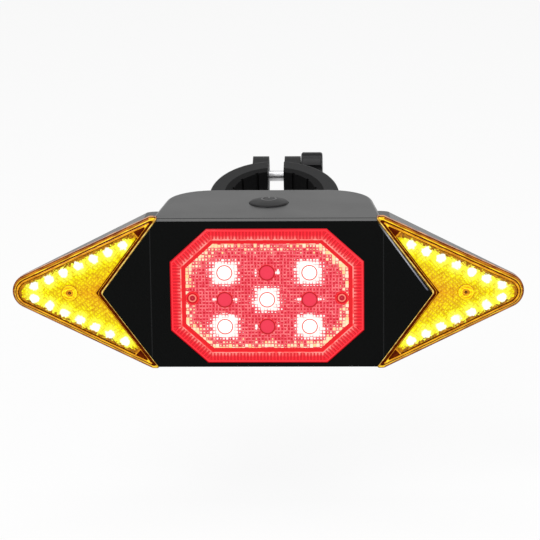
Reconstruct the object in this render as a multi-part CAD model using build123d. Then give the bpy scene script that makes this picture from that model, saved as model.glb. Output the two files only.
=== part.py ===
from build123d import *
import os
from math import cos, hypot, radians, sin, sqrt

# A rear lamp for a bicycle: a red brake light between two amber arrows, on a seat post clamp.
# Millimetres, +Z up, the lamp faces -Y. The origin is the middle of the clamp's bore.
# Lamp pieces are drawn with their depth counted from the front panel and their height from
# the middle of the panel, and are then moved to their place.

# Front panel and arrows, seen from the front
PANEL_HEIGHT = 52.0
FOLD_X = 40.0
SWEEP = 3.0
ARROW_VERTEX_X = 96.7
ARROW_BLUNT_X = 40.3
ARROW_INNER_X = 37.0
ARROW_INNER_Z = 27.2
NOTCH_X = 57.0
ARROW_NOSE_R = 6.2
ARROW_END_X = 37.5
NOTCH_R = 0.6
BEZEL_T = 3.8
PANEL_SKIN = 2.4
POST_ROOT = 0.4

# Housing
DEPTH = 46.0
HALF_FRONT = 40.5
HALF_BACK = 34.5
REAR_R = 16.5
EDGE_R = 1.6
WALL = 2.0
WING_ROOT_T = 16.0
WING_TIP_T = 7.5
WING_BACK = 1.5
WING_OVERLAP = 8.0
LENS_LIP = 0.5
NOTCH_WALL = 1.6
GASKET_T = 0.6
GASKET_EDGE = 0.3
GASKET_W = 1.3

# Arrow lenses
ARROW_SET = 0.6
ARROW_BEVEL_DEPTH = 1.6
ARROW_BEVEL_WIDTH = 1.75
ARROW_SKIN = 1.5
ARROW_SKIRT = 1.7
LENS_GAP = 0.1
LENS_BOSS_X = 68.4
LENS_BOSS_R = 2.2
LENS_BOSS_LENGTH = 2.4

# Brake light lens
STOP_WIDTH = 66.6
STOP_HEIGHT = 47.7
STOP_TOP = 41.2
STOP_SIDE = 24.4
STOP_DROP = 0.6
STOP_PROUD = 0.4
STOP_SKIN = 2.2
STOP_CHAMFER = 0.5
STOP_LEDGE = 1.6
STOP_BOSS_X = 25.7
STOP_BOSS_DROP = 1.2

# Lights and boards
STOP_PITCH_X = 14.6
STOP_PITCH_Z = 9.6
STOP_GRID_DROP = 1.2
STOP_LED_R = 2.5
STOP_LED_FLANGE_R = 2.9
STOP_LED_FLANGE_T = 1.0
STOP_LED_TOP = 2.6
MAIN_BOARD_FRONT = 8.2
MAIN_BOARD_T = 1.6
MAIN_BOARD_WIDTH = 68.0
MAIN_BOARD_HEIGHT = 45.6
MAIN_BOARD_R = 2.0
BOARD_POST_INSET = 2.5
ARROW_LED_R = 1.5
ARROW_LED_TOP = 2.6
ARROW_LED_COUNT = 7
ARROW_ROW_START = (49.5, 17.2)
ARROW_ROW_END = (80.8, 2.2)
WING_BOARD_FRONT = 5.6
WING_BOARD_T = 1.0
WING_BOARD_EDGE = 3.4
REFLECTOR_T = 0.9
REFLECTOR_RIM = 1.2
REFLECTOR_EDGE = 0.8
REFLECTOR_RISE = 1.2
ARROW_TRAY_FRONT = 3.4
LED_HOLE_GAP = 0.2

# Screws, as shank radius, head radius and head height
CASE_SCREW = (1.3, 2.4, 1.6)
SMALL_SCREW = (1.0, 1.8, 1.2)
THREAD_GAP = 0.05
HOLE_GAP = 0.2
BOSS_WALL = 1.5
HEX_SHARE = 0.55
CASE_POST_X = 45.5
CASE_POST_Z = 8.0
CASE_SPLIT = 8.0
CASE_HEAD_SEAT = 11.4

# Battery and its cradle
CELL_R = 9.0
CELL_LENGTH = 65.0
CELL_CAP_R = 3.0
CELL_CAP_T = 0.6
CELL_BACK_GAP = 2.4
CRADLE_WALL = 1.0
CRADLE_GAP = 0.1
CRADLE_LENGTH = 48.0
CRADLE_RISE = 9.6
LEAD_R = 0.6
LEAD_BEND_R = 1.6

# Radio module on the main board
RADIO_SIZE = (20.0, 1.0, 12.0)
RADIO_CAN = (12.0, 1.8, 9.0)
RADIO_INSET = (16.0, 11.8)

# Charging socket, its board and the rubber cover
SOCKET_WIDTH = 7.6
SOCKET_T = 2.7
SOCKET_LENGTH = 5.6
SOCKET_WALL = 0.3
SOCKET_TONGUE = (4.2, 0.7)
CHARGE_BOARD_T = 1.2
CHARGE_BOARD_WIDTH = 14.0
CHARGE_BOARD_HEIGHT = 16.0
CHARGE_GAP = 0.6
PORT_WIDTH = 8.8
PORT_T = 3.8
COVER_WIDTH = 14.0
COVER_LENGTH = 11.0
COVER_T = 1.4
COVER_SINK = 1.0
COVER_GAP = 0.15
COVER_PLUG = (7.2, 2.4, 0.9)
COVER_LIP = (6.0, 0.9, 0.6)

# Power button and its switch
BUTTON_Y = 26.0
BUTTON_R = 6.9
BUTTON_PROUD = 1.2
BUTTON_DOME_R = 32.0
BUTTON_EDGE_R = 0.8
BUTTON_GAP = 0.1
BUTTON_FLANGE = 1.4
BUTTON_FLANGE_T = 1.0
BUTTON_TRAVEL = 0.5
STEM_R = 2.6
PLUNGER_R = 1.7
PLUNGER_SHOW = 1.0
PLUNGER_LENGTH = 3.0
SWITCH_SIZE = 6.2
SWITCH_T = 3.6
SWITCH_BOARD_SIZE = (31.0, 12.0, 1.2)
SWITCH_POST_X = 12.5

# Slide rail on the back
RAIL_WIDTH = 34.0
RAIL_T = 6.0
RAIL_PROUD = 1.5
RAIL_TOP = 14.0
RAIL_BOTTOM = -24.0
RAIL_FLOOR = 1.4
RAIL_LIP = 2.0
RAIL_CAP = 3.0
RAIL_FIT = 0.1
SLOT_WIDTH = 22.0
SLOT_NECK = 14.0
RAIL_SCREW_DEPTH = 4.4
RAIL_SCREW_END = 5.0

# Bracket shoe and tilt bolt
SHOE_HEIGHT = 28.0
SHOE_PLATE_T = 2.0
SHOE_PLATE_WIDTH = 24.0
SHOE_PLATE_DROP = 6.0
SHOE_GAP = 0.3
PIVOT_STANDOFF = 8.0
PIVOT_DROP = 4.0
PIVOT_REACH = 31.5
LUG_WIDTH = 10.2
LUG_GAP = 0.4
EAR_GAP = 0.2
EAR_T = 3.5
EAR_R = 6.0
BOLT_R = 2.5
BOLT_FIT = 0.06
BOLT_HEAD_R = 4.25
BOLT_HEAD_T = 5.0
BOLT_SOCKET_R = 2.2
BOLT_SOCKET_DEPTH = 2.6
WASHER_R = 5.0
WASHER_T = 1.0
NUT_R = 4.6
NUT_T = 4.0
BOLT_END = 1.0

# Seat post clamp
POST_R = 15.45
POST_TILT = 17.0
PAD_T = 3.0
PAD_GROOVE = (1.2, 0.6)
PAD_GROOVE_COUNT = 14
RING_R = 24.0
RING_HEIGHT = 22.0
RING_EDGE_R = 1.2
SPLIT = 6.0
PINCH_Y = 31.0
PINCH_R = 7.5
PINCH_T = 6.0
PINCH_SCREW_R = 2.0
PINCH_FIT = 0.06
NUT_SIDE = 7.0
SQUARE_NUT_T = 3.2
KNOB_R = 9.0
KNOB_LENGTH = 8.0
KNOB_GAP = 0.3
KNOB_EDGE_R = 0.9
KNOB_FLUTE_COUNT = 8
FLUTE_R = 2.4
FLUTE_OUT = 1.2
SCREW_END = 2.0

# Every cut runs past the face that it opens by this much
OVER = 1.0

# Places that follow from the sizes
HALF_HEIGHT = PANEL_HEIGHT / 2
RIM = BEZEL_T + GASKET_T
NOTCH_RUN = (NOTCH_X - ARROW_INNER_X) / ARROW_INNER_Z
FOLD_Z = (NOTCH_X - FOLD_X) / NOTCH_RUN
PANEL_TOP_X = NOTCH_X - HALF_HEIGHT * NOTCH_RUN
EDGE_RUN = (ARROW_VERTEX_X - ARROW_BLUNT_X) / ARROW_INNER_Z
KNEE_X = ARROW_VERTEX_X - HALF_HEIGHT * EDGE_RUN
TIP_X = ARROW_VERTEX_X - ARROW_NOSE_R * (hypot(1, EDGE_RUN) - 1)
STOP_SEAT = STOP_SKIN - STOP_PROUD + GASKET_T
MAIN_BOARD_BACK = MAIN_BOARD_FRONT + MAIN_BOARD_T
BOARD_POST_X = MAIN_BOARD_WIDTH / 2 - BOARD_POST_INSET
BOARD_POST_Z = MAIN_BOARD_HEIGHT / 2 - BOARD_POST_INSET
RADIO_X = RADIO_INSET[0] - MAIN_BOARD_WIDTH / 2
RADIO_Z = MAIN_BOARD_HEIGHT / 2 - RADIO_INSET[1]
WING_BOARD_BACK = WING_BOARD_FRONT + WING_BOARD_T
GRID_Z = -STOP_DROP - STOP_GRID_DROP
CELL_Y = MAIN_BOARD_BACK + CELL_BACK_GAP + CELL_R
CELL_Z = -HALF_HEIGHT + WALL + CRADLE_GAP + CRADLE_WALL + CRADLE_GAP + CELL_R
SOCKET_Y = CELL_Y + CELL_R + CRADLE_GAP + CRADLE_WALL + CHARGE_GAP + SOCKET_T / 2
CHARGE_BOARD_Y = SOCKET_Y + SOCKET_T / 2
COVER_TOP_Z = -HALF_HEIGHT + COVER_SINK
COVER_AXIS_Y = SOCKET_Y - COVER_LENGTH / 2
COVER_AXIS_Z = COVER_TOP_Z - RAIL_FIT - COVER_T / 2
RAIL_BACK = DEPTH + RAIL_PROUD
RAIL_FRONT = RAIL_BACK - RAIL_T
SLOT_FRONT = RAIL_FRONT + RAIL_FLOOR
SLOT_BACK = RAIL_BACK - RAIL_LIP
SHOE_TOP = RAIL_TOP - RAIL_CAP - RAIL_FIT
PLATE_FRONT = RAIL_BACK + SHOE_GAP
PLATE_BACK = PLATE_FRONT + SHOE_PLATE_T
PIVOT_Y = RAIL_BACK + PIVOT_STANDOFF
LUG_R = PIVOT_STANDOFF - SHOE_GAP - SHOE_PLATE_T - LUG_GAP
EAR_IN = LUG_WIDTH / 2 + EAR_GAP
EAR_OUT = EAR_IN + EAR_T
RING_BORE = POST_R + PAD_T

# The lamp and its bracket hang from the clamp's pivot, which leans with the seat post
LAMP = Pos(0, -PIVOT_REACH * cos(radians(POST_TILT)) - PIVOT_Y,
           -PIVOT_REACH * sin(radians(POST_TILT)) + PIVOT_DROP)
CLAMP = Rot(POST_TILT, 0, 0)


def inset(corners, gap):
    """The corners of an outline, listed anticlockwise, with every edge moved in by gap."""
    moved = []
    for before, here, after in zip(corners[-1:] + corners[:-1], corners, corners[1:] + corners[:1]):
        into = (Vector(*here) - Vector(*before)).normalized()
        out = (Vector(*after) - Vector(*here)).normalized()
        first, second = Vector(-into.Y, into.X), Vector(-out.Y, out.X)
        corner = Vector(*here) + (first + second) * (gap / (1 + first.dot(second)))
        moved.append((corner.X, corner.Y))
    return moved


def rounded(corners, radii):
    """A face inside the corners, each of them rounded by its own radius."""
    return make_face(FilletPolyline(*corners, radius=radii, close=True))


def plate(outline, near, far):
    """An outline drawn in X and Z, solid from depth near to depth far."""
    return extrude(Pos(0, near, 0) * (Plane.XZ * outline), amount=far - near, dir=(0, 1, 0))


def rod(radius, near, far):
    """A round bar along Y from depth near to depth far."""
    return Pos(0, (near + far) / 2, 0) * Rot(90, 0, 0) * Cylinder(radius, far - near)


def cross_rod(radius, left, right):
    """A round bar along X from left to right."""
    return Pos((left + right) / 2, 0, 0) * Rot(0, 90, 0) * Cylinder(radius, right - left)


def block(width, near, far, low, high):
    """A box centred on X, from depth near to far and from low to high."""
    return Pos(0, (near + far) / 2, (low + high) / 2) * Box(width, far - near, high - low)


def both_sides(shape):
    """A shape and its mirror image on the lamp's other half."""
    return shape + mirror(shape, about=Plane.YZ)


def swing(shape):
    """The right wing's flat pieces turned back about the panel's fold."""
    return Pos(FOLD_X, 0, 0) * Rot(0, 0, SWEEP) * Pos(-FOLD_X, 0, 0) * shape


def group(shapes):
    """Several like pieces kept as separate solids of one node."""
    return Compound(children=[solid for shape in shapes for solid in shape.solids()])


def arrow_kite(gap):
    """The right arrow before its two inner tips are blunted, moved in by gap."""
    tip_x = (NOTCH_X * EDGE_RUN - ARROW_VERTEX_X * NOTCH_RUN) / (EDGE_RUN - NOTCH_RUN)
    tip_z = (ARROW_VERTEX_X - tip_x) / EDGE_RUN
    corners = [(tip_x, -tip_z), (ARROW_VERTEX_X, 0), (tip_x, tip_z), (NOTCH_X, 0)]
    nose = max(ARROW_NOSE_R - gap, NOTCH_R)
    return rounded(inset(corners, gap), [0, nose, 0, NOTCH_R + gap])


def arrow_limits(gap):
    """The rectangle that blunts the right arrow's inner tips, moved in by gap."""
    near = ARROW_END_X + gap
    return Pos((near + ARROW_VERTEX_X) / 2, 0) * Rectangle(
        ARROW_VERTEX_X - near, 2 * (ARROW_INNER_Z - gap))


def arrow(gap=0.0):
    """Outline of the right arrow, moved in by gap."""
    return arrow_kite(gap) & arrow_limits(gap)


def bevel(outline, near, far, narrow, wide):
    """A solid between an outline moved in by narrow at depth near and by wide at depth far."""
    sections = [Pos(0, depth, 0) * (Plane.XZ * outline(gap)) for depth, gap in ((near, narrow), (far, wide))]
    return loft(sections, ruled=True)


def wing(gap):
    """Outline of the right half of the housing behind arrow and panel, moved in by gap."""
    root = FOLD_X - WING_OVERLAP
    corners = [(root, -HALF_HEIGHT), (KNEE_X, -HALF_HEIGHT), (ARROW_VERTEX_X, 0),
               (KNEE_X, HALF_HEIGHT), (root, HALF_HEIGHT)]
    nose = max(ARROW_NOSE_R - gap, NOTCH_R)
    return rounded(inset(corners, gap), [0, 0, nose, 0, 0])


def notch_vee(gap):
    """The part of the right wing between fold and notch, its slanted edges moved in by gap."""
    reach = NOTCH_X - gap * hypot(1, NOTCH_RUN)
    root = FOLD_X - WING_OVERLAP
    height = (reach - root) / NOTCH_RUN
    return Polygon((root, -height), (reach, 0), (root, height), align=None)


def panel_centre(gap=0.0):
    """Outline of the panel between its two folds."""
    corners = [(-PANEL_TOP_X, -HALF_HEIGHT), (PANEL_TOP_X, -HALF_HEIGHT), (FOLD_X, -FOLD_Z),
               (FOLD_X, FOLD_Z), (PANEL_TOP_X, HALF_HEIGHT), (-PANEL_TOP_X, HALF_HEIGHT),
               (-FOLD_X, FOLD_Z), (-FOLD_X, -FOLD_Z)]
    if gap:
        corners = [(x, z * (1 - gap / HALF_HEIGHT)) for x, z in corners]
    return Polygon(*corners, align=None)


def panel_vee():
    """Outline of the panel beyond its right fold."""
    return Polygon((FOLD_X, -FOLD_Z), (NOTCH_X, 0), (FOLD_X, FOLD_Z), align=None)


def octagon(gap=0.0):
    """Outline of the brake light lens, moved in by gap."""
    top, side, width, height = STOP_TOP / 2, STOP_SIDE / 2, STOP_WIDTH / 2, STOP_HEIGHT / 2
    corners = [(-top, -height), (top, -height), (width, -side), (width, side),
               (top, height), (-top, height), (-width, side), (-width, -side)]
    return Pos(0, -STOP_DROP) * Polygon(*inset(corners, gap), align=None)


def screw(sizes, length):
    """A screw along -Y whose head stands on depth 0, with a hexagon socket."""
    radius, head_radius, head_height = sizes
    socket = RegularPolygon(head_radius * HEX_SHARE, 6)
    return (rod(radius, -length, 0) + rod(head_radius, 0, head_height)
            - plate(socket, head_height / 2, head_height + OVER))


def lamp_plan(gap, front):
    """Plan of the housing's middle from depth front to its back, its walls moved in by gap."""
    slope = (HALF_BACK - HALF_FRONT) / DEPTH
    half = HALF_FRONT + slope * (front - gap)
    corners = [(-half, front - gap), (half, front - gap), (HALF_BACK, DEPTH), (-HALF_BACK, DEPTH)]
    return rounded(inset(corners, gap), [0, 0, REAR_R - gap, REAR_R - gap])


def wing_wedge(front, wall):
    """Side profile that thins the right wing towards its nose, less a wall at its back."""
    root = FOLD_X - WING_OVERLAP
    thin = (WING_ROOT_T - WING_TIP_T) / (TIP_X - FOLD_X)
    tip = WING_ROOT_T - thin * (ARROW_VERTEX_X - FOLD_X)
    profile = Polygon((root, front), (ARROW_VERTEX_X, front), (ARROW_VERTEX_X, tip - wall),
                      (FOLD_X, WING_ROOT_T - wall), (root, WING_ROOT_T - wall), align=None)
    return extrude(profile, amount=PANEL_HEIGHT, both=True)


def wing_depth(x):
    """Depth of the wing's back at a distance from the middle."""
    return WING_ROOT_T - (WING_ROOT_T - WING_TIP_T) * (x - FOLD_X) / (TIP_X - FOLD_X)


def led_row():
    """Places of one arrow's lights, in its upper and its lower row."""
    steps = [step / (ARROW_LED_COUNT - 1) for step in range(ARROW_LED_COUNT)]
    (x0, z0), (x1, z1) = ARROW_ROW_START, ARROW_ROW_END
    return [(x0 + (x1 - x0) * s, side * (z0 + (z1 - z0) * s)) for side in (1, -1) for s in steps]


def stop_grid():
    """Places of the brake light's nine lights."""
    return [(STOP_PITCH_X * column, GRID_Z + STOP_PITCH_Z * row)
            for row in (1, 0, -1) for column in (-1, 0, 1)]


def corners_of(x, z):
    """The four places at plus and minus x and z."""
    return [(sx * x, sz * z) for sx in (1, -1) for sz in (1, -1)]


def led(radius, top, foot):
    """A round light with a domed end at depth top, standing on a board at depth foot."""
    return rod(radius, top + radius, foot) + Pos(0, top + radius, 0) * Sphere(radius)


def case_posts(shape):
    """A shape drawn about the Y axis, moved to all four places of the case screws."""
    return both_sides(swing(group([Pos(CASE_POST_X, 0, side * CASE_POST_Z) * shape for side in (1, -1)])))


def front_bezel():
    radius = CASE_SCREW[0]
    hollow = plate(notch_vee(2 * NOTCH_WALL), PANEL_SKIN, BEZEL_T + OVER)
    bezel = plate(panel_centre(), 0, BEZEL_T) + both_sides(swing(plate(panel_vee(), 0, BEZEL_T) - hollow))
    bezel += case_posts(rod(radius + BOSS_WALL, POST_ROOT, CASE_SPLIT))
    bezel -= both_sides(swing(plate(arrow(), -OVER, BEZEL_T + OVER)))
    bezel -= plate(octagon(-LENS_GAP), -OVER, STOP_SEAT)
    bezel -= plate(octagon(STOP_LEDGE), -OVER, BEZEL_T + OVER)
    small = SMALL_SCREW[0]
    post = rod(small + BOSS_WALL, BEZEL_T - POST_ROOT, MAIN_BOARD_FRONT)
    hole = rod(small + THREAD_GAP, STOP_SEAT, MAIN_BOARD_FRONT + OVER)
    light_box = plate(octagon(), BEZEL_T, MAIN_BOARD_FRONT + OVER)
    for x, z in corners_of(BOARD_POST_X, BOARD_POST_Z):
        bezel += Pos(x, 0, z) * post - light_box
        bezel -= Pos(x, 0, z) * hole
    return bezel - case_posts(rod(radius + THREAD_GAP, BEZEL_T - THREAD_GAP, CASE_SPLIT + OVER))


def rear_housing():
    outer = extrude(lamp_plan(0, RIM), amount=HALF_HEIGHT, both=True)
    rims = outer.edges().group_by(Axis.Z)[0] + outer.edges().group_by(Axis.Z)[-1]
    outer = fillet([edge for edge in rims if edge.center().Y > RIM + EDGE_R], EDGE_R)
    side = plate(wing(LENS_LIP), RIM, WING_ROOT_T) & wing_wedge(RIM, 0)
    slant = side.faces().filter_by(lambda face: face.normal_at().Y > 0).sort_by(Axis.X)[-1]
    side = fillet([edge for edge in slant.edges() if edge.center().X > FOLD_X + EDGE_R], EDGE_R)
    shell = outer + both_sides(swing(side))
    inner = extrude(lamp_plan(WALL, RIM - OVER), amount=HALF_HEIGHT - WALL, both=True)
    hollow = plate(wing(LENS_LIP + WALL), RIM - OVER, WING_ROOT_T) & wing_wedge(RIM - OVER, WING_BACK)
    hollow -= plate(notch_vee(-NOTCH_WALL) - notch_vee(NOTCH_WALL), 0, WING_ROOT_T)
    shell -= inner + both_sides(swing(hollow)) + block(2 * FOLD_X, 0, RIM, -HALF_HEIGHT, HALF_HEIGHT)
    shell += both_sides(swing(wing_posts())) + inner_posts()
    shell -= both_sides(swing(wing_cuts())) + rail_pocket()
    shell += rail_backing()
    shell -= rail_screw_holes() + button_hole() + port_hole() + post_holes()
    return shell


def wing_posts():
    """Posts inside the right wing, for the case screws, the lens screw and its board."""
    radius = CASE_SCREW[0]
    posts = [Pos(CASE_POST_X, 0, side * CASE_POST_Z)
             * rod(radius + 2 * BOSS_WALL, CASE_SPLIT, wing_depth(CASE_POST_X) - WING_BACK / 2)
             for side in (1, -1)]
    posts.append(Pos(LENS_BOSS_X, 0, 0)
                 * rod(SMALL_SCREW[1] + BOSS_WALL, WING_BOARD_BACK, wing_depth(LENS_BOSS_X) - WING_BACK / 2))
    start_x, start_z = ARROW_ROW_START
    posts += [Pos(start_x, 0, side * start_z)
              * rod(BOSS_WALL, WING_BOARD_BACK, wing_depth(start_x) - WING_BACK / 2) for side in (1, -1)]
    return group(posts)


def wing_cuts():
    """Screw holes and the lead's way in the right wing."""
    radius, head_radius, _ = CASE_SCREW
    back = WING_ROOT_T + OVER
    stepped = rod(radius + HOLE_GAP, RIM, back) + rod(head_radius + HOLE_GAP, CASE_HEAD_SEAT, back)
    cuts = [Pos(CASE_POST_X, 0, side * CASE_POST_Z) * stepped for side in (1, -1)]
    radius, head_radius, _ = SMALL_SCREW
    cuts += [Pos(LENS_BOSS_X, 0, 0) * rod(radius + HOLE_GAP, RIM, back),
             Pos(LENS_BOSS_X, 0, 0) * rod(head_radius + HOLE_GAP, lens_screw_seat(), back)]
    way = cross_rod(2 * LEAD_R, FOLD_X, LENS_BOSS_X - head_radius - BOSS_WALL)
    cuts.append(Pos(0, lead_depth(), 0) * way)
    return group(cuts)


def lens_screw_seat():
    """Depth at which the arrow lens screw's head rests."""
    return wing_depth(LENS_BOSS_X) - SMALL_SCREW[2] - WING_BACK / 2


def lead_depth():
    """Depth at which a lead runs out into the wing, behind the wing's board."""
    return WING_BOARD_BACK + LEAD_BEND_R + LEAD_R


def inner_posts():
    """Posts that carry the switch board and the charging board."""
    radius = SMALL_SCREW[0] + BOSS_WALL
    top = HALF_HEIGHT - WALL / 2
    length = top - switch_board_top()
    posts = [Pos(side * SWITCH_POST_X, BUTTON_Y, top - length / 2) * Cylinder(radius, length)
             for side in (1, -1)]
    near = CHARGE_BOARD_Y + CHARGE_BOARD_T
    posts.append(Pos(0, 0, charge_screw_z()) * rod(radius, near, RAIL_FRONT - WALL / 2))
    return group(posts)


def post_holes():
    """Screw holes in the posts of the switch board and the charging board."""
    radius = SMALL_SCREW[0] + THREAD_GAP
    low, high = switch_board_top() - OVER, HALF_HEIGHT - WALL
    holes = [Pos(side * SWITCH_POST_X, BUTTON_Y, (low + high) / 2) * Cylinder(radius, high - low)
             for side in (1, -1)]
    near = CHARGE_BOARD_Y + CHARGE_BOARD_T
    holes.append(Pos(0, 0, charge_screw_z()) * rod(radius, near - OVER, RAIL_FRONT - WALL / 2))
    return group(holes)


def switch_board_top():
    """Height of the board that carries the power switch."""
    stem_end = HALF_HEIGHT - WALL - BUTTON_GAP - BUTTON_FLANGE_T - STEM_R / 2
    return stem_end - PLUNGER_SHOW - SWITCH_T


def charge_board_low():
    """Lower edge of the charging board."""
    return -HALF_HEIGHT + WALL + RAIL_FIT


def charge_screw_z():
    """Height of the charging board's screw."""
    return charge_board_low() + CHARGE_BOARD_HEIGHT - SMALL_SCREW[1] - BOSS_WALL


def rail_pocket():
    """The pocket in the back for the slide rail, open at the bottom."""
    width = RAIL_WIDTH + 2 * RAIL_FIT
    return block(width, RAIL_FRONT, DEPTH + OVER, -HALF_HEIGHT - OVER, RAIL_TOP + RAIL_FIT)


def rail_backing():
    """The wall round the rail's pocket and the posts for its screws."""
    width = RAIL_WIDTH + 2 * RAIL_FIT
    top = RAIL_TOP + RAIL_FIT
    half = HALF_HEIGHT - WALL / 2
    floor = block(width + 2 * WALL, RAIL_FRONT - WALL, RAIL_FRONT, -half, top + WALL)
    sides = block(width + 2 * WALL, RAIL_FRONT - WALL, DEPTH - WALL / 2, -half, top + WALL)
    wall = floor + (sides - block(width, RAIL_FRONT, DEPTH, -HALF_HEIGHT, top))
    post = rod(CASE_SCREW[0] + BOSS_WALL, RAIL_FRONT - WALL - RAIL_SCREW_END, RAIL_FRONT - WALL / 2)
    return wall + group([Pos(x, 0, z) * post for x, z in rail_screw_places()])


def rail_screw_places():
    """Places of the slide rail's four screws."""
    x = (RAIL_WIDTH + SLOT_WIDTH) / 4
    edge = CASE_SCREW[1] + BOSS_WALL
    return [(side * x, z) for side in (1, -1) for z in (RAIL_TOP - edge, RAIL_BOTTOM + edge)]


def rail_screw_holes():
    """Threaded holes of the slide rail's screws."""
    hole = rod(CASE_SCREW[0] + THREAD_GAP, RAIL_FRONT - WALL - RAIL_SCREW_END - OVER, RAIL_FRONT + OVER)
    return group([Pos(x, 0, z) * hole for x, z in rail_screw_places()])


def button_hole():
    """The hole in the top wall that guides the power button."""
    return Pos(0, BUTTON_Y, HALF_HEIGHT) * Cylinder(BUTTON_R + BUTTON_GAP, 2 * WALL + OVER)


def port_hole():
    """The opening of the charging socket and the recess for its cover."""
    opening = block(PORT_WIDTH, SOCKET_Y - PORT_T / 2, SOCKET_Y + PORT_T / 2,
                    -HALF_HEIGHT - OVER, -HALF_HEIGHT + WALL + OVER)
    near = COVER_AXIS_Y - COVER_T / 2 - COVER_GAP
    far = COVER_AXIS_Y + COVER_LENGTH + COVER_GAP
    recess = block(COVER_WIDTH + 2 * COVER_GAP, near, far, -HALF_HEIGHT - OVER, COVER_TOP_Z)
    return opening + recess


def bezel_gasket():
    centre = plate(panel_centre(GASKET_EDGE) - panel_centre(GASKET_EDGE + GASKET_W), BEZEL_T, RIM)
    strip = notch_vee(GASKET_EDGE) - notch_vee(GASKET_EDGE + GASKET_W)
    keep = Pos(FOLD_X + NOTCH_X / 2, 0) * Rectangle(NOTCH_X, 2 * HALF_HEIGHT)
    vee = swing(plate(strip & keep, BEZEL_T, RIM))
    return centre + both_sides(vee)


def stop_lens():
    lens = plate(octagon(), -STOP_PROUD, STOP_SKIN - STOP_PROUD)
    lens = chamfer(lens.faces().sort_by(Axis.Y)[0].edges(), STOP_CHAMFER)
    back = STOP_SKIN - STOP_PROUD
    boss = rod(LENS_BOSS_R, back, BEZEL_T + REFLECTOR_RISE) - rod(
        SMALL_SCREW[0] + THREAD_GAP, back, BEZEL_T + REFLECTOR_RISE + OVER)
    return lens + group([Pos(side * STOP_BOSS_X, 0, -STOP_BOSS_DROP) * boss for side in (1, -1)])


def stop_lens_gasket():
    return plate(octagon() - octagon(STOP_LEDGE), STOP_SEAT - GASKET_T, STOP_SEAT)


def stop_reflector():
    floor = BEZEL_T + REFLECTOR_RISE
    rim = octagon(REFLECTOR_EDGE) - octagon(REFLECTOR_EDGE + REFLECTOR_RIM)
    tray = plate(rim, BEZEL_T, floor) + plate(octagon(REFLECTOR_EDGE), floor, floor + REFLECTOR_T)
    for x, z in stop_grid():
        tray -= Pos(x, 0, z) * rod(STOP_LED_R + LED_HOLE_GAP, BEZEL_T, floor + REFLECTOR_T + OVER)
    for side in (1, -1):
        hole = rod(SMALL_SCREW[0] + HOLE_GAP, BEZEL_T, floor + REFLECTOR_T + OVER)
        tray -= Pos(side * STOP_BOSS_X, 0, -STOP_BOSS_DROP) * hole
    return tray


def stop_leds():
    body = led(STOP_LED_R, STOP_LED_TOP, MAIN_BOARD_FRONT)
    body += rod(STOP_LED_FLANGE_R, MAIN_BOARD_FRONT - STOP_LED_FLANGE_T, MAIN_BOARD_FRONT)
    return group([Pos(x, 0, z) * body for x, z in stop_grid()])


def stop_lens_screws():
    seat = BEZEL_T + REFLECTOR_RISE + REFLECTOR_T
    body = screw(SMALL_SCREW, seat - STOP_SKIN - STOP_PROUD)
    return group([Pos(side * STOP_BOSS_X, seat, -STOP_BOSS_DROP) * body for side in (1, -1)])


def main_board():
    board = RectangleRounded(MAIN_BOARD_WIDTH, MAIN_BOARD_HEIGHT, MAIN_BOARD_R)
    solid = plate(board, MAIN_BOARD_FRONT, MAIN_BOARD_BACK)
    for x, z in corners_of(BOARD_POST_X, BOARD_POST_Z):
        solid -= Pos(x, 0, z) * rod(SMALL_SCREW[0] + HOLE_GAP, 0, MAIN_BOARD_BACK + OVER)
    return solid


def board_screws():
    """Screws of the main board, the switch board and the charging board."""
    body = screw(SMALL_SCREW, MAIN_BOARD_T + MAIN_BOARD_FRONT - BEZEL_T)
    screws = [Pos(x, MAIN_BOARD_BACK, z) * body for x, z in corners_of(BOARD_POST_X, BOARD_POST_Z)]
    under = switch_board_top() - SWITCH_BOARD_SIZE[2]
    body = Rot(-90, 0, 0) * screw(SMALL_SCREW, SWITCH_BOARD_SIZE[2] + 2 * BOSS_WALL)
    screws += [Pos(side * SWITCH_POST_X, BUTTON_Y, under) * body for side in (1, -1)]
    body = Rot(180, 0, 0) * screw(SMALL_SCREW, CHARGE_BOARD_T + BOSS_WALL)
    screws.append(Pos(0, CHARGE_BOARD_Y, charge_screw_z()) * body)
    return group(screws)


def arrow_lens():
    face = ARROW_SET
    edge = ARROW_SET + ARROW_BEVEL_DEPTH
    inner = LENS_GAP + ARROW_BEVEL_WIDTH
    cap = bevel(arrow_kite, face, edge, inner, LENS_GAP) & bevel(arrow_limits, face, edge, inner, LENS_GAP)
    lens = cap + plate(arrow(LENS_GAP), edge, BEZEL_T)
    lens -= plate(arrow(LENS_GAP + ARROW_SKIRT), face + ARROW_SKIN, BEZEL_T + OVER)
    boss = rod(LENS_BOSS_R, face + ARROW_SKIN, face + ARROW_SKIN + LENS_BOSS_LENGTH)
    boss -= rod(SMALL_SCREW[0] + THREAD_GAP, face + ARROW_SKIN, WING_BOARD_BACK)
    return swing(lens + Pos(LENS_BOSS_X, 0, 0) * boss)


def arrow_gasket():
    ring = arrow(GASKET_EDGE + LENS_GAP) - arrow(GASKET_EDGE + LENS_GAP + GASKET_W)
    return swing(plate(ring, BEZEL_T, RIM))


def arrow_tray():
    """The white tray behind an arrow lens, with a hole for each light."""
    back = ARROW_TRAY_FRONT + REFLECTOR_T
    edge = WING_BOARD_EDGE + LED_HOLE_GAP
    tray = plate(arrow(edge), ARROW_TRAY_FRONT, back)
    tray += plate(arrow(edge) - arrow(edge + REFLECTOR_T), back, WING_BOARD_FRONT)
    for x, z in led_row():
        tray -= Pos(x, 0, z) * rod(ARROW_LED_R + LED_HOLE_GAP, 0, WING_BOARD_FRONT)
    return swing(tray - Pos(LENS_BOSS_X, 0, 0) * rod(LENS_BOSS_R + HOLE_GAP, 0, WING_BOARD_FRONT))


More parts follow.
